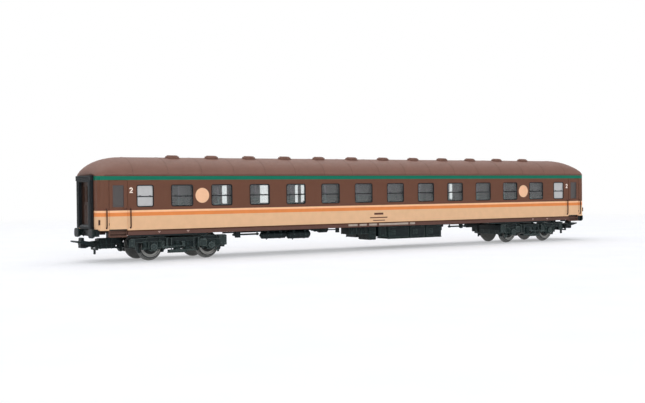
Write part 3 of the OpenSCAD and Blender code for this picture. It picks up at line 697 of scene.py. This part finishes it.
def grab_rail(kit, side, x):
    top, foot = 22.75, 14.5
    path = ((top, 0), (22.66, 0.45), (22.3, 0.64), (15.3, 0.64), (14.8, 0.45), (foot, 0))
    kit.tube([on_wall(side, x, z, out) for z, out in path], 0.27, 10)
    for z in (top, foot):
        kit.lathe([(0.42, 0), (0.42, 0.06), (0.3, 0.12)], on_wall(side, x, z, 0), "y", 12, side)


def lamp_bracket(kit, side, x):
    c = on_wall(side, x, 17.0, 0)
    kit.box(c + Vector((-0.4, 0, -1.1)), c + Vector((0.4, side * 0.32, 1.2)), 0.1)
    kit.box(c + Vector((-0.25, 0, 0.6)), c + Vector((0.25, side * 0.6, 1.0)), 0.08)


def drip_strip(kit, side):
    section = ((-0.16, -0.05), (-0.16, 0.1), (-0.02, 0.16), (0.12, 0.1), (0.14, -0.05))
    half, steps = BODY_HALF - 0.2, 96
    xs = [-half + i * 2 * half / steps for i in range(steps + 1)]
    kit.loft([[on_wall(side, x, EAVES + dz, out) for dz, out in section] for x in xs])


def windows_and_trim():
    for side, where in SIDES:
        gaskets, bars, trim, rails = Kit(), Kit(), Kit(), Kit()
        for x in WINDOWS:
            window(gaskets, bars, side, x, WIN_W)
        for s in (-1, 1):
            window(gaskets, bars, side, s * WC_X, WC_W)
        for s in (-1, 1):
            entrance_door(trim, rails, side, s)
            for x in GRAB_RAILS:
                grab_rail(rails, side, s * x)
            lamp_bracket(rails, side, s * LAMP_BRACKET_X)
        drip_strip(trim, side)
        gaskets.make(f"window_gaskets_{where}", "gasket", "rubber_black")
        bars.make(f"window_bars_{where}", "bar", "frame_black")
        trim.make(f"side_trim_{where}", "trim", "body_paint")
        rails.make(f"door_rails_{where}", "rail", "body_paint")


# ---- printing on the sides
def stroke(kit, side, x, path):
    """A flat line of the class number, along a path as it is seen from outside."""
    left, right = [], []
    for i, p in enumerate(path):
        a, b = Vector(path[max(i - 1, 0)]), Vector(path[min(i + 1, len(path) - 1)])
        along = (b - a).normalized()
        across = Vector((-along.y, along.x)) * STROKE / 2
        left.append(Vector(p) + across)
        right.append(Vector(p) - across)
    for i in range(len(path) - 1):
        quad = [(-side * q.x, q.y) for q in (left[i], left[i + 1], right[i + 1], right[i])]
        kit.loft([wall_loop(side, x, NUMBER_Z, quad, d) for d in PRINT])


def class_number(kit, side, x):
    """A plain 2: its bow and slanted stroke, then its foot."""
    bow = []
    for angle in range(175, -41, -15):
        a = radians(angle)
        bow.append((0.55 * cos(a), 0.5 + 0.55 * sin(a)))
    stroke(kit, side, x, bow + [(-0.4, -0.8)])
    stroke(kit, side, x, [(-0.72, -0.93), (0.75, -0.93)])


def plain_disc(kit, side, x):
    profile = [(3.45, -0.02), (3.45, 0.035), (3.38, 0.05), (0, 0.05)]
    kit.lathe(profile, on_wall(side, x, 28.45, 0), "y", 64, side)


def wall_panel(kit, side, x0, x1, z0, z1):
    """A blank printed panel, between x0 and x1 as it is seen from outside."""
    kit.box(on_wall(side, -side * x0, z0, PRINT[0]), on_wall(side, -side * x1, z1, PRINT[1]), 0.01)


def lifting_mark(kit, side, x):
    triangle = ((-0.75, 0.35), (0, -0.5), (0.75, 0.35))
    kit.loft([wall_loop(side, x, 12.2, triangle, d) for d in PRINT])


def printing():
    for side, where in SIDES:
        discs, numbers, marks, panels, sole = Kit(), Kit(), Kit(), Kit(), Kit()
        for s in (-1, 1):
            class_number(numbers, side, s * NUMBER_X)
            plain_disc(discs, side, s * 5 * PITCH)
        for x in (-121.8, -107.7, 107.7, 119.0):
            lifting_mark(marks, side, x)
        # where the coach's data would stand
        for x0, x1, z, h in ((-3.6, 2.1, 17.75, 1.0), (-6.2, 4.7, 15.8, 0.55), (-4.4, 3.1, 14.35, 0.45)):
            wall_panel(panels, side, x0, x1, z - h / 2, z + h / 2)
        for x0, x1 in ((-19.6, -14.1), (-12.8, -8.4), (-6.9, -2.0), (-0.6, 18.2), (19.3, 22.6)):
            wall_panel(sole, side, x0, x1, 11.75, 12.75)
        discs.make(f"plain_discs_{where}", "print", "body_paint")
        numbers.make(f"class_numbers_{where}", "digit", "body_paint")
        marks.make(f"lifting_marks_{where}", "mark", "body_paint")
        panels.make(f"blank_panels_{where}", "ink", "body_paint")
        sole.make(f"sole_bar_panels_{where}", "pale", "body_paint")


# ---- roof
def roof_joints():
    """Low ribs over the roof, where its sheets meet."""
    kit = Kit()
    for i in range(-8, 9):
        loops = []
        for dx, out in ((-0.16, -0.03), (-0.1, 0.05), (0.1, 0.05), (0.16, -0.03)):
            loops.append([roof_point(i * ROOF_PITCH + dx, turn, out) for turn in range(3, 178, 3)])
        kit.loft(loops, closed=False, caps=False)
    kit.make("roof_joints", "roof", "roof_paint")


def ventilator_feet():
    """The low foot round each ventilator, lying on the roof's curve."""
    kit = Kit()
    lo, hi = corners("roof_vents")
    turn = degrees(acos(-(lo.y + hi.y) / 2 / HALF_W))
    outline = rounded(7.4, 4.3, 2.0, 6)
    for x in WINDOWS:
        base = roof_point(x, turn)
        up = (roof_point(x, turn, 1.0) - base).normalized()
        kit.at = Matrix.Translation(base) @ up.to_track_quat("Z", "Y").to_matrix().to_4x4()
        kit.loft([[(px * k, py * k, z) for px, py in outline]
                  for k, z in ((1, -0.35), (1, 0.1), (0.97, 0.16), (0.9, 0.16))])
    kit.make("ventilator_feet", "roof", "roof_paint")


# ---- bogies
LIP_TOP = ((-25.1, 9.2), (-9.6, 9.82), (-7, 9.25), (7, 9.25), (9.6, 9.82), (22.0, 9.82))
LIP_FOOT = ((-22.4, 7.55), (-9.5, 8.08), (-7.7, 7.1), (-6.35, 4.72), (6.35, 4.72), (7.7, 7.1),
            (9.5, 8.08), (19.3, 8.0))


def frame_lips(kit, f):
    """Lips along the beam's top and bottom, as on a pressed frame, and its ribs."""
    thick = 0.24
    for line in (LIP_TOP, LIP_FOOT):
        for (xa, za), (xb, zb) in zip(line, line[1:]):
            strip = [(xa, za - thick), (xb, zb - thick), (xb, zb), (xa, za)]
            kit.prism(strip, "y", f.out(-0.05), f.out(0.42))
    for x in (-17.6, -11.0, 11.0, 17.6):
        f.slab(kit, x - 0.16, x + 0.16, 8.1, 9.5, -0.05, 0.36, 0.05)


def end_plates(kit, f):
    """Bolted plates on both ends of the side frame; the inner end is the higher x."""
    f.slab(kit, 18.9, 22.8, 5.0, 9.7, 0, 0.3)
    f.slab(kit, -25.5, -23.0, 5.6, 9.0, 0, 0.3)
    for x, z in ((19.9, 8.9), (19.9, 5.9), (21.9, 8.9), (21.9, 5.9), (-24.2, 6.4), (-24.2, 8.2)):
        f.bolt(kit, x, z, 0.28)


def axle_box(boxes, springs, f, x):
    """Axle box with its bolted cover and guides, and the two springs beside it."""
    cover = [(0, 0), (1.62, 0), (1.62, 0.28), (1.45, 0.42), (1.2, 0.42), (1.1, 0.3), (0.45, 0.3),
             (0.3, 0.42), (0, 0.42)]
    f.lathe(boxes, x, TREAD, 1.28, cover, 32)
    for k in range(6):
        a = radians(60 * k + 30)
        f.bolt(boxes, x + 1.32 * cos(a), TREAD + 1.32 * sin(a), 1.68, 0.17, 0.16)
    f.slab(boxes, x - 2.0, x + 2.0, 3.45, 3.8, -0.4, 1.0)
    y = f.out(-0.35)
    for k in (-1, 1):
        f.slab(boxes, x + k * 1.85, x + k * 2.3, 4.3, 7.3, -0.2, 0.75)
        u = x + k * 3.6
        springs.spring((u, y), 4.85, 7.95, 1.22, 0.2, 5)
        boxes.lathe([(1.6, 0), (1.6, 0.22), (1.35, 0.3), (0, 0.3)], (u, y, 4.75), "z", 24)
        boxes.lathe([(1.55, 0), (1.55, 0.25), (1.2, 0.4), (0, 0.4)], (u, y, 7.75), "z", 24)
        boxes.bolt((u, y, 4.22), "z", 0.42, 0.3, -1)


def bolster(frames, boxes, springs, f):
    """Bolster springs on their plank, which hangs from the frame on two links."""
    for u in (-2.5, 2.5):
        springs.spring((u, f.out(-0.25)), 3.7, 7.55, 1.42, 0.27, 4.5)
        boxes.lathe([(1.85, 0), (1.85, 0.25), (1.5, 0.35), (0, 0.35)], (u, f.out(-0.25), 3.6), "z", 28)
    f.slab(frames, -6.4, 6.4, 3.0, 3.6, 0.4, 1.3, 0.12)
    f.slab(frames, -7.4, 2.2, 2.25, 2.95, 0.15, 0.85, 0.1)
    for x in (-5.6, 5.6):
        frames.tube([(x, f.out(0.75), 9.3), (x, f.out(0.85), 3.2)], 0.24, 8)
        f.bolt(frames, x, 9.0, 0.5, 0.42, 0.35)
        f.bolt(frames, x, 3.3, 0.7, 0.38, 0.35)


def dampers(kit, f):
    """Upright hydraulic dampers on both sides of the bolster."""
    body = [(0.3, 4.6), (0.62, 4.7), (0.62, 6.7), (0.5, 6.8), (0.5, 8.6), (0.3, 8.7)]
    for x in (-7.9, 7.9):
        kit.lathe(body, (x, f.out(0.95), 0), "z", 18)
        for z in (4.45, 8.85):
            f.lathe(kit, x, z, 0.95, [(0.34, -0.25), (0.34, 0.25)])


def link_rod(kit, f):
    """The rod along the frame that steadies the bolster, and its two brackets."""
    ends = ((-9.7, 5.1), (0.4, 5.5))
    kit.tube([(x, f.out(1.25), z) for x, z in ends], 0.3)
    for x, z in ends:
        f.lathe(kit, x, z, 1.25, [(0.55, -0.32), (0.62, -0.25), (0.62, 0.25), (0.55, 0.32)], 18)
    f.slab(kit, -0.4, 1.2, 5.3, 7.4, 0.1, 1.0, 0.1)
    f.slab(kit, -10.4, -9.0, 5.0, 7.6, 0.1, 1.0, 0.1)


def brake_gear(kit, side):
    """Hangers, pull rod, sand pipe, cylinder and its pipe behind one side frame."""
    hanger_x = HALF_BASE + 7.0
    inner_x = HALF_BASE - 7.0
    for x in (-hanger_x, -inner_x, inner_x, hanger_x):
        hanger = [(x - 0.45, 8.3), (x + 0.45, 8.3), (x + 0.42, 4.2), (x - 0.42, 4.2)]
        kit.prism(hanger, "y", side * 10.0, side * 10.5)
        for z in (4.5, 8.0):
            kit.lathe([(0.4, -0.4), (0.4, 0.4)], (x, side * 10.2, z), "y", 14)
    kit.tube([(-inner_x, side * 5.4, 4.1), (inner_x, side * 5.4, 4.1)], 0.26, 8)
    kit.prism([(18.0, 5.2), (18.9, 5.2), (19.2, 1.9), (18.3, 1.8)], "y", side * 11.2, side * 11.8)
    kit.tube([(16.9, side * 11.5, 3.3), (19.0, side * 11.5, 2.6)], 0.3, 8)
    cylinder = [(0, 0), (1.15, 0), (1.25, 0.2), (1.25, 2.6), (1.05, 2.9), (0.4, 2.9), (0.4, 3.6), (0, 3.6)]
    kit.lathe(cylinder, (-6.2, side * 6.4, 6.6), "x", 24, -1)
    pipe = ((-9.0, 6.4, 7.6), (-11.5, 7.8, 8.4), (-16.5, 10.4, 8.8), (-20.5, 10.5, 8.8))
    kit.tube([(x, side * y, z) for x, y, z in pipe], 0.2, 8)


def cross_members(frames, gear):
    """Stiffener under the inner end beam, and the two level dampers."""
    frames.box((21.4, -10.7, 3.95), (22.6, 10.7, 6.6), 0.15)
    gusset = [(20.95, 6.5), (22.85, 6.5), (22.75, 4.0), (21.3, 3.8)]
    for y in (-7.5, -2.5, 2.5, 7.5):
        frames.prism(gusset, "y", y - 0.3, y + 0.3)
    for x in (-8.3, 8.3):
        gear.lathe([(0.55, -4.6), (0.55, -0.5), (0.38, -0.4), (0.38, 4.4)], (x, 0, 8.3), "y", 16)


def bogie_details():
    for s, where in ENDS:
        # drawn round the pivot, with x towards the middle of the coach
        at = Matrix.Translation((s * PIVOT, 0, 0)) @ Matrix.Rotation(pi if s > 0 else 0, 4, "Z")
        frames, springs, boxes, gear = Kit(at), Kit(at), Kit(at), Kit(at)
        for side in (-1, 1):
            f = Face("y", side * FRAME_FACE, side)
            frame_lips(frames, f)
            end_plates(frames, f)
            for x in (-HALF_BASE, HALF_BASE):
                axle_box(boxes, springs, f, x)
            # guard of the inner axle's spring
            f.slab(boxes, 8.6, 12.0, 5.0, 8.0, 0.55, 1.15, 0.2)
            f.slab(boxes, 8.9, 11.7, 7.9, 8.5, 0.5, 0.95, 0.12)
            bolster(frames, boxes, springs, f)
            dampers(gear, f)
            link_rod(gear, f)
            brake_gear(gear, side)
        cross_members(frames, gear)
        body = f"bogie_{where}"
        # lips, covers and rods take the lighter copy of the underframe black, a painted highlight
        frames.make(f"bogie_frame_lips_{where}", "frame_highlight_and_rub", "frame_black", 0.04, body)
        boxes.make(f"axle_box_covers_{where}", "frame_highlight_and_rub", "frame_black", 0.03, body)
        springs.make(f"bogie_springs_{where}", "frame", "frame_black", 0, body)
        gear.make(f"bogie_rods_and_dampers_{where}", "frame_highlight_and_rub", "frame_black", 0.03, body)


# ---- boxes under the floor
def box_front(kit, node, side, lids):
    """A box's lids with hinges and latches, and its rims. Returns its lowest corner and its face."""
    lo, hi = corners(node)
    f = Face("y", corners(node)[side > 0].y, side, 0.06)
    top = min(hi.z, 11.0)
    for x0, x1 in lids:
        f.slab(kit, x0 + 0.25, x1 - 0.25, lo.z + 0.35, top - 0.3, -0.1, 0.22, 0.1)
        f.slab(kit, x0 + 0.75, x1 - 0.75, lo.z + 0.9, top - 0.85, 0.1, 0.34, 0.1)
        for u in (0.2, 0.8):
            hinge = f.point(x0 + (x1 - x0) * u, top - 0.25, 0.25)
            kit.lathe([(0.2, -0.55), (0.2, 0.55)], hinge, "x", 10)
        latch = (x0 + x1) / 2
        f.slab(kit, latch - 0.5, latch + 0.5, lo.z + 0.35, lo.z + 0.85, 0.2, 0.5)
        f.bolt(kit, latch, lo.z + 0.6, 0.45, 0.18, 0.14)
    for z in (lo.z - 0.1, top - 0.2):
        f.slab(kit, lo.x - 0.12, hi.x + 0.12, z, z + 0.32, -0.25, 0.3)
    return lo, f


def battery_details(kit):
    """The near battery box: lids, louvres in them and ribs on the end wall."""
    lo, f = box_front(kit, "battery_box", -1, ((7.1, 20.9), (21.3, 31.6), (32.0, 42.4)))
    for x, k in product((8.6, 23.2, 33.6), range(4)):
        z = lo.z + 2.0 + k * 0.75
        f.slab(kit, x, x + 3.2, z, z + 0.3, 0.3, 0.48, 0.05)
    for z in (5.6, 7.4, 9.2):
        kit.box((lo.x - 0.2, -12.6, z), (lo.x + 0.05, -4.8, z + 0.3), 0.06)


def switch_details(kit):
    """The switch box: one lid, and the cables that leave it below."""
    lo, f = box_front(kit, "switch_box", -1, ((1.4, 6.2),))
    for x in (2.2, 3.7, 5.2):
        kit.tube([f.point(x, lo.z + z, d) for z, d in ((0.1, -1.2), (-0.5, -1.2), (-0.7, -3.2))], 0.2, 8)


def converter_details(kit):
    """The converter's cooling ribs, and the rack with three round covers beside it."""
    z0 = corners("converter_box")[0].z
    for k in range(9):
        z = z0 + 0.6 + k * 0.72
        kit.box((-4.9, -13.45, z), (-0.7, -13.1, z + 0.22), 0.05)
        kit.box((-5.2, -12.9, z), (-4.9, -3.8, z + 0.22), 0.05)
    kit.box((-4.6, -13.1, z0 - 0.15), (-1.0, -3.6, z0 + 0.1), 0.05)
    for x in (-15.6, -12.6, -9.6, -6.8):
        kit.box((x - 0.18, -13.0, 7.5), (x + 0.18, -12.7, 12.6), 0.05)
    kit.box((-16.9, -13.05, 7.3), (-5.1, -12.7, 7.65), 0.06)
    for x in (-15.0, -11.6, -8.2):
        kit.lathe([(0, 0), (0.95, 0), (0.95, 0.3), (0.7, 0.42), (0, 0.42)], (x, -12.75, 9.7), "y", 24, -1)


def tank_details(kit, pipes, x0, x1, y, z, r):
    """A tank's bands, seam and end caps, and the pipes up to the floor and down."""
    for u in (0.25, 0.75):
        x = x0 + (x1 - x0) * u
        band = [(r - 0.05, -0.42), (r + 0.13, -0.36), (r + 0.13, 0.36), (r - 0.05, 0.42)]
        kit.lathe(band, (x, y, z), "x", 40)
        kit.bolt((x, y - r - 0.05, z), "y", 0.28, 0.25, -1)
    seam = [(r - 0.05, -0.12), (r + 0.06, -0.06), (r + 0.06, 0.06), (r - 0.05, 0.12)]
    kit.lathe(seam, ((x0 + x1) / 2, y, z), "x", 40)
    cap = [(r * 0.6, -0.02), (r * 0.45, 0.16), (0.35, 0.26), (0.35, 0.6), (0, 0.6)]
    for x, sign in ((x0, -1), (x1, 1)):
        kit.lathe(cap, (x, y, z), "x", 24, sign)
    a, b = x0 + 1.6, x0 + 3.2
    pipes.tube([(a, y, z + r - 0.1), (a, y, 11.6), (a, y * 0.6, 12.4), (a, y * 0.42, 12.6)], 0.26, 8)
    pipes.tube([(b, y, z - r + 0.1), (b, y, z - r - 0.5)], 0.24, 8)


# ---- pipes and bars under the floor
def floor_pipes(kit):
    """Long pipes under the floor, between the bogies' wheels, and their clips."""
    half = 84
    for y, z, r in ((-4.4, 12.75, 0.38), (4.4, 12.75, 0.38), (-5.8, 12.9, 0.26), (6.0, 12.95, 0.26)):
        kit.tube([(-half, y, z), (half, y, z)], r)
        for i in range(-5, 6):
            x = i * MEMBER_PITCH
            kit.box((x - 0.5, y - r - 0.2, z - r - 0.12), (x + 0.5, y + r + 0.2, FLOOR_Z), 0.08)


def middle_cylinder(kit):
    """Brake cylinder in the middle, its lever and the rods to both bogies."""
    cylinder = [(0, 0), (2.0, 0), (2.2, 0.25), (2.2, 4.6), (1.9, 5.0), (1.9, 5.4), (0.5, 5.5), (0.5, 9.5),
                (0, 9.5)]
    kit.lathe(cylinder, (-22, 1.2, 10.4), "x", 36, -1)
    for x in (-23.6, -26.2):
        kit.box((x - 0.35, -0.6, 10.8), (x + 0.35, 3.0, FLOOR_Z), 0.08)
    kit.prism([(-31.9, -6.5), (-30.7, -6.5), (-31.0, 5.5), (-31.6, 5.5)], "z", 10.2, 10.6)
    kit.tube([(-31.3, -6.0, 10.4), (-84, -3.0, 10.1)], 0.35, 8)
    kit.tube([(-31.3, 5.0, 10.4), (-3.0, 5.2, 10.6), (60, 3.0, 10.3), (84, 3.0, 10.1)], 0.35, 8)


def right_cylinder(kit):
    """Second cylinder, by the right bogie: brackets, lever and control valve."""
    cylinder = [(0, 0), (1.7, 0), (1.95, 0.3), (1.95, 5.6), (1.6, 6.1), (0.7, 6.2), (0.7, 8.6), (0, 8.6)]
    kit.lathe(cylinder, (70.4, -1.2, 10.0), "x", 32)
    for x in (71.6, 75.0):
        kit.box((x - 0.35, -2.9, 10.2), (x + 0.35, 0.5, FLOOR_Z), 0.1)
    kit.prism([(77.2, 10.9), (79.2, 10.9), (80.2, 5.4), (79.2, 5.2)], "y", -1.6, -0.8)
    kit.box((44.6, -9.2, 9.4), (47.6, -6.0, 12.9), 0.25)
    valve = [(0, 0), (1.1, 0), (1.2, 0.2), (1.2, 1.8), (0.8, 2.1), (0, 2.1)]
    kit.lathe(valve, (46.1, -7.6, 9.5), "z", 24, -1)
    kit.tube([(46.1, -7.6, 11.5), (50.5, -8.6, 12.0), (56.0, -11.5, 12.3)], 0.26, 8)


def near_rods(kit):
    """Brake rods along the near side, with their hangers and rollers."""
    y = -12.0
    for x0, x1, z in ((-83, -69, 9.4), (48.6, 61, 9.55)):
        kit.tube([(x0, y, z), (x1, y, z)], 0.42)
        for x in (x0 + 0.8, x1 - 0.8):
            kit.lathe([(0.62, -0.5), (0.62, 0.5)], (x, y, z), "y", 16)
            kit.box((x - 0.25, y - 0.3, z), (x + 0.25, y + 0.2, 13.3), 0.06)
    for x, r in ((-80.35, 1.15), (57.5, 0.95)):
        kit.lathe([(0.5, -0.8), (r, -0.6), (r, 0.6), (0.5, 0.8)], (x, -12.1, 9.3), "y", 24)
    for x in (-36.6, -31.6, -23.2):
        kit.lathe([(0.5, -0.5), (0.5, 0.5)], (x, -11.3, 9.9), "y", 14)


def sole_bars(kit):
    """Inner sole bars over the bogies, and the floor's cross members."""
    for side in (-1, 1):
        for x0, x1 in ((-135.2, -97.0), (76.0, 119.5), (124.8, 125.6), (131.5, 135.2)):
            kit.box((x0, side * 14.15, 10.25), (x1, side * 14.95, 13.3), 0.12)
        for i in range(-5, 6):
            x = i * MEMBER_PITCH
            kit.box((x - 0.3, side * 12.6, 11.5), (x + 0.3, side * 14.9, 13.35), 0.06)
    for x in (-128, -90, 90, 128):
        for y in (-4.6, 4.6):
            kit.box((x - 3.0, y - 0.35, 12.2), (x + 3.0, y + 0.35, FLOOR_Z), 0.08)


def buffer_beams(bars, pipes):
    """Plates and bolts on the buffer beams, and the brake hoses."""
    hose = ((149.6, 3.6, 12.4), (150.3, 3.6, 12.1), (150.5, 3.7, 11.4), (150.3, 3.9, 10.5))
    for s, side in product((-1, 1), repeat=2):
        beam = Face("x", s * BEAM_X, s)
        beam.bolt(bars, side * 6.6, 12.6, 0, 0.4, 0.25)
        beam.slab(bars, side * 7.9, side * 12.2, 10.8, 13.3, -0.25, 0.1, 0.1)
        pipes.tube([(s * x, side * y, z) for x, y, z in hose], 0.28, 8)


def underframe_details():
    boxes, pipes, bars = Kit(), Kit(), Kit()
    battery_details(boxes)
    switch_details(boxes)
    converter_details(boxes)
    box_front(boxes, "battery_box_far", 1, ((-1.6, 8.6), (9.0, 18.6), (19.0, 27.2), (27.6, 35.8)))
    for x0, x1, y, z, r in TANKS:
        tank_details(boxes, pipes, x0, x1, y, z, r)
    floor_pipes(pipes)
    middle_cylinder(pipes)
    right_cylinder(pipes)
    near_rods(bars)
    sole_bars(bars)
    buffer_beams(bars, pipes)
    boxes.make("underfloor_box_details", "frame", "frame_black", 0.03)
    pipes.make("underfloor_pipes", "frame_dark", "frame_black", 0.02)
    bars.make("underfloor_bars", "frame", "frame_black", 0.02)


# ---- gangways, end doors, buffers and steps
ROLL = ((0.5, 6.9), (0.05, 7.0), (-0.16, 7.5), (-0.2, 8.3), (-0.1, 9.1), (0.3, 9.5), (0.6, 9.4))


def gangway_rolls(kit, g, z0, z1):
    """Rubber roll and bolted clamping strip down each side, and the folds of the top roll."""
    for side in (-1, 1):
        kit.loft([[g.point(side * y, z, d) for d, y in ROLL] for z in (z0 + 0.3, z1 - 2.5)])
        g.slab(kit, side * 9.7, side * 10.15, z0 + 0.6, z1 - 2.4, 0.6, 1.25)
        g.slab(kit, side * 6.1, side * 6.5, z0 + 1.0, z1 - 3.2, 0.9, 1.15)
        g.slab(kit, side * 10.3, side * 10.75, z1 - 2.2, z1 - 0.1, 0.1, 1.2, 0.2)
        for k in range(9):
            kit.bolt((g.out(1.0), side * 10.1, z0 + 1.6 + k * 2.2), "y", 0.2, 0.16, side)
    for z in (z1 - 2.0, z1 - 1.25, z1 - 0.5):
        kit.tube([g.point(-10.4, z, 0.12), g.point(0, z + 0.12, -0.02), g.point(10.4, z, 0.12)], 0.34)


def bridge_plate(kit, g, z0):
    """The ribbed plate one walks over, on its hinge."""
    g.slab(kit, -6.2, 6.2, z0 + 0.75, z0 + 1.15, 0.15, 1.2, 0.12)
    kit.lathe([(0.3, -6.0), (0.3, 6.0)], g.point(0, z0 + 1.3, 1.0), "y", 14)
    for k in range(-5, 6):
        y = k * 1.05
        g.slab(kit, y - 0.12, y + 0.12, z0 + 1.1, z0 + 1.25, 0.25, 1.0, 0.04)


def end_door_trim(kit, f, z0, z1):
    """Meeting strip, frames of the two panes, lower panels and handle of an end door."""
    f.slab(kit, -0.14, 0.14, z0 + 1.2, z1 - 3.2, -0.15, 0.06)
    for y in (-2.4, 2.4):
        for u in (y - 1.9, y + 1.6):
            f.slab(kit, u, u + 0.3, 25.8, 33.2, -0.1, 0.1)
        for z in (25.7, 32.95):
            f.slab(kit, y - 1.9, y + 1.9, z, z + 0.35, -0.1, 0.1)
        f.slab(kit, y - 1.7, y + 1.7, 16.4, 24.2, -0.1, 0.07, 0.12)
    kit.tube([f.point(0.75, z, d) for z, d in ((22.6, 0), (22.6, 0.28), (24.6, 0.28), (24.6, 0))], 0.1, 8)


def buffer_details(kit, s, side):
    """Bolted base of a buffer, and the rim of its head."""
    y = side * BUFFER_Y
    beam = Face("x", s * BEAM_X, s)
    base = [(0, 0), (1.75, 0), (1.75, 0.16), (1.5, 0.35), (1.42, 0.95), (0, 0.95)]
    beam.lathe(kit, y, BUFFER_Z, 0, base, 28)
    for k in range(4):
        a = radians(45 + 90 * k)
        beam.bolt(kit, y + 1.5 * cos(a), BUFFER_Z + 1.35 * sin(a), 0.1, 0.24, 0.3)
    rim = ((1.15, 1.0), (1.3, 1.02), (1.75, 1.02), (1.88, 0.97), (1.93, 0.8))
    kit.loft([[beam.point(y + py * k, BUFFER_Z + pz * k, d) for py, pz in rounded(6, 4, 1.5)]
              for d, k in rim])


def step_edges(kit, s, side):
    """Nosing and tread bars of the two steps under an entrance door."""
    inner_x, outer_x = DOOR_X - DOOR_W / 2 + 0.15, DOOR_X + DOOR_W / 2 - 0.15
    back = side_y(outer_x) - 1.6
    for z, depth in ((10.6, 1.55), (12.15, 0.95)):
        front = back + depth
        kit.box((s * inner_x, side * (front - 0.3), z - 0.28), (s * outer_x, side * front, z + 0.36), 0.1)
        for k in range(1, 8):
            x = s * (inner_x + (outer_x - inner_x) * k / 8)
            kit.box((x - 0.1, side * (back + 0.1), z + 0.25), (x + 0.1, side * (front - 0.3), z + 0.38), 0.03)


def end_details():
    for s, where in ENDS:
        rubber, door, plate, buffers, treads = Kit(), Kit(), Kit(), Kit(), Kit()
        box = corners(f"gangway_{where}")
        z0, z1 = box[0].z, box[1].z
        # distances from the gangway's face grow towards the coach
        g = Face("x", box[s > 0].x, -s, 0.1)
        gangway_rolls(rubber, g, z0, z1)
        bridge_plate(plate, g, z0)
        end_door_trim(door, Face("x", corners(f"end_door_{where}")[s > 0].x, s, 0.05), z0, z1)
        for side in (-1, 1):
            buffer_details(buffers, s, side)
            step_edges(treads, s, side)
        rubber.make(f"gangway_rolls_{where}", "rubber", "rubber_black", 0.05)
        door.make(f"end_door_trim_{where}", "door", "door_brown", 0.02)
        plate.make(f"bridge_plate_{where}", "steel_dark", "rubber_black", 0.02)
        buffers.make(f"buffer_details_{where}", "frame", "frame_black", 0.03)
        treads.make(f"step_edges_{where}", "step", "door_brown", 0.02)


# ---- couplings, drawn at the right end
def arm_ribs(kit):
    """Ribs across the coupling arm's pocket, its rim and the pivot's washer."""
    for x in (139.4, 142.0, 144.6):
        kit.box((x - 0.25, -2.78, 4.7), (x + 0.25, 2.78, 9.4), 0.1)
    kit.box((138.6, -1.1, 9.2), (145.2, 1.1, 9.55), 0.1)
    kit.box((138.2, -2.72, 6.75), (145.3, 2.72, 7.15), 0.08)
    kit.lathe([(1.9, -0.1), (2.1, 0.05), (2.1, 0.2), (1.6, 0.3)], (135.6, 0, 9.95), "z", 28, -1)
    for side in (-1, 1):
        kit.tube([(136.6, side * 1.35, 9.0), (138.6, side * 1.9, 9.5)], 0.25, 8)


def head_details(kit):
    """Nose plate, hook edge, heel and cross pin of the coupling head."""
    kit.box((151.2, -2.15, 5.6), (153.5, 2.15, 7.3), 0.25)
    kit.box((152.0, -1.2, 7.2), (153.1, 1.2, 9.9), 0.25)
    kit.box((146.3, -2.1, 5.5), (148.0, 2.1, 8.0), 0.25)
    kit.tube([(149.4, -1.5, 8.0), (149.4, 1.5, 8.0)], 0.3)


def loop_rivets(kit):
    """Rivets where the loop turns, and the prong between them."""
    for side in (-1, 1):
        kit.lathe([(0.75, 0), (0.75, 0.12), (0.5, 0.3), (0, 0.3)], (147.2, side * 3.75, 6.9), "y", 20, side)
    kit.box((146.1, -0.55, 4.2), (147.0, 0.55, 5.1), 0.15)


def coupling_details():
    for s, where in ENDS:
        mirror = Matrix.Scale(s, 4, (1, 0, 0))
        arm, head, loop = Kit(mirror), Kit(mirror), Kit(mirror)
        arm_ribs(arm)
        head_details(head)
        loop_rivets(loop)
        body = f"coupling_{where}"
        arm.make(f"coupling_arm_ribs_{where}", "frame", "frame_black", 0.04, body)
        head.make(f"coupling_head_details_{where}", "frame_dark", "frame_black", 0.05, body)
        loop.make(f"loop_rivets_{where}", "frame_dark", "frame_black", 0.03, f"loop_{where}")


# ---- the whole scene
make_camera()
make_floor()
make_light()
finish_nodes()
windows_and_trim()
printing()
roof_joints()
ventilator_feet()
bogie_details()
underframe_details()
end_details()
coupling_details()
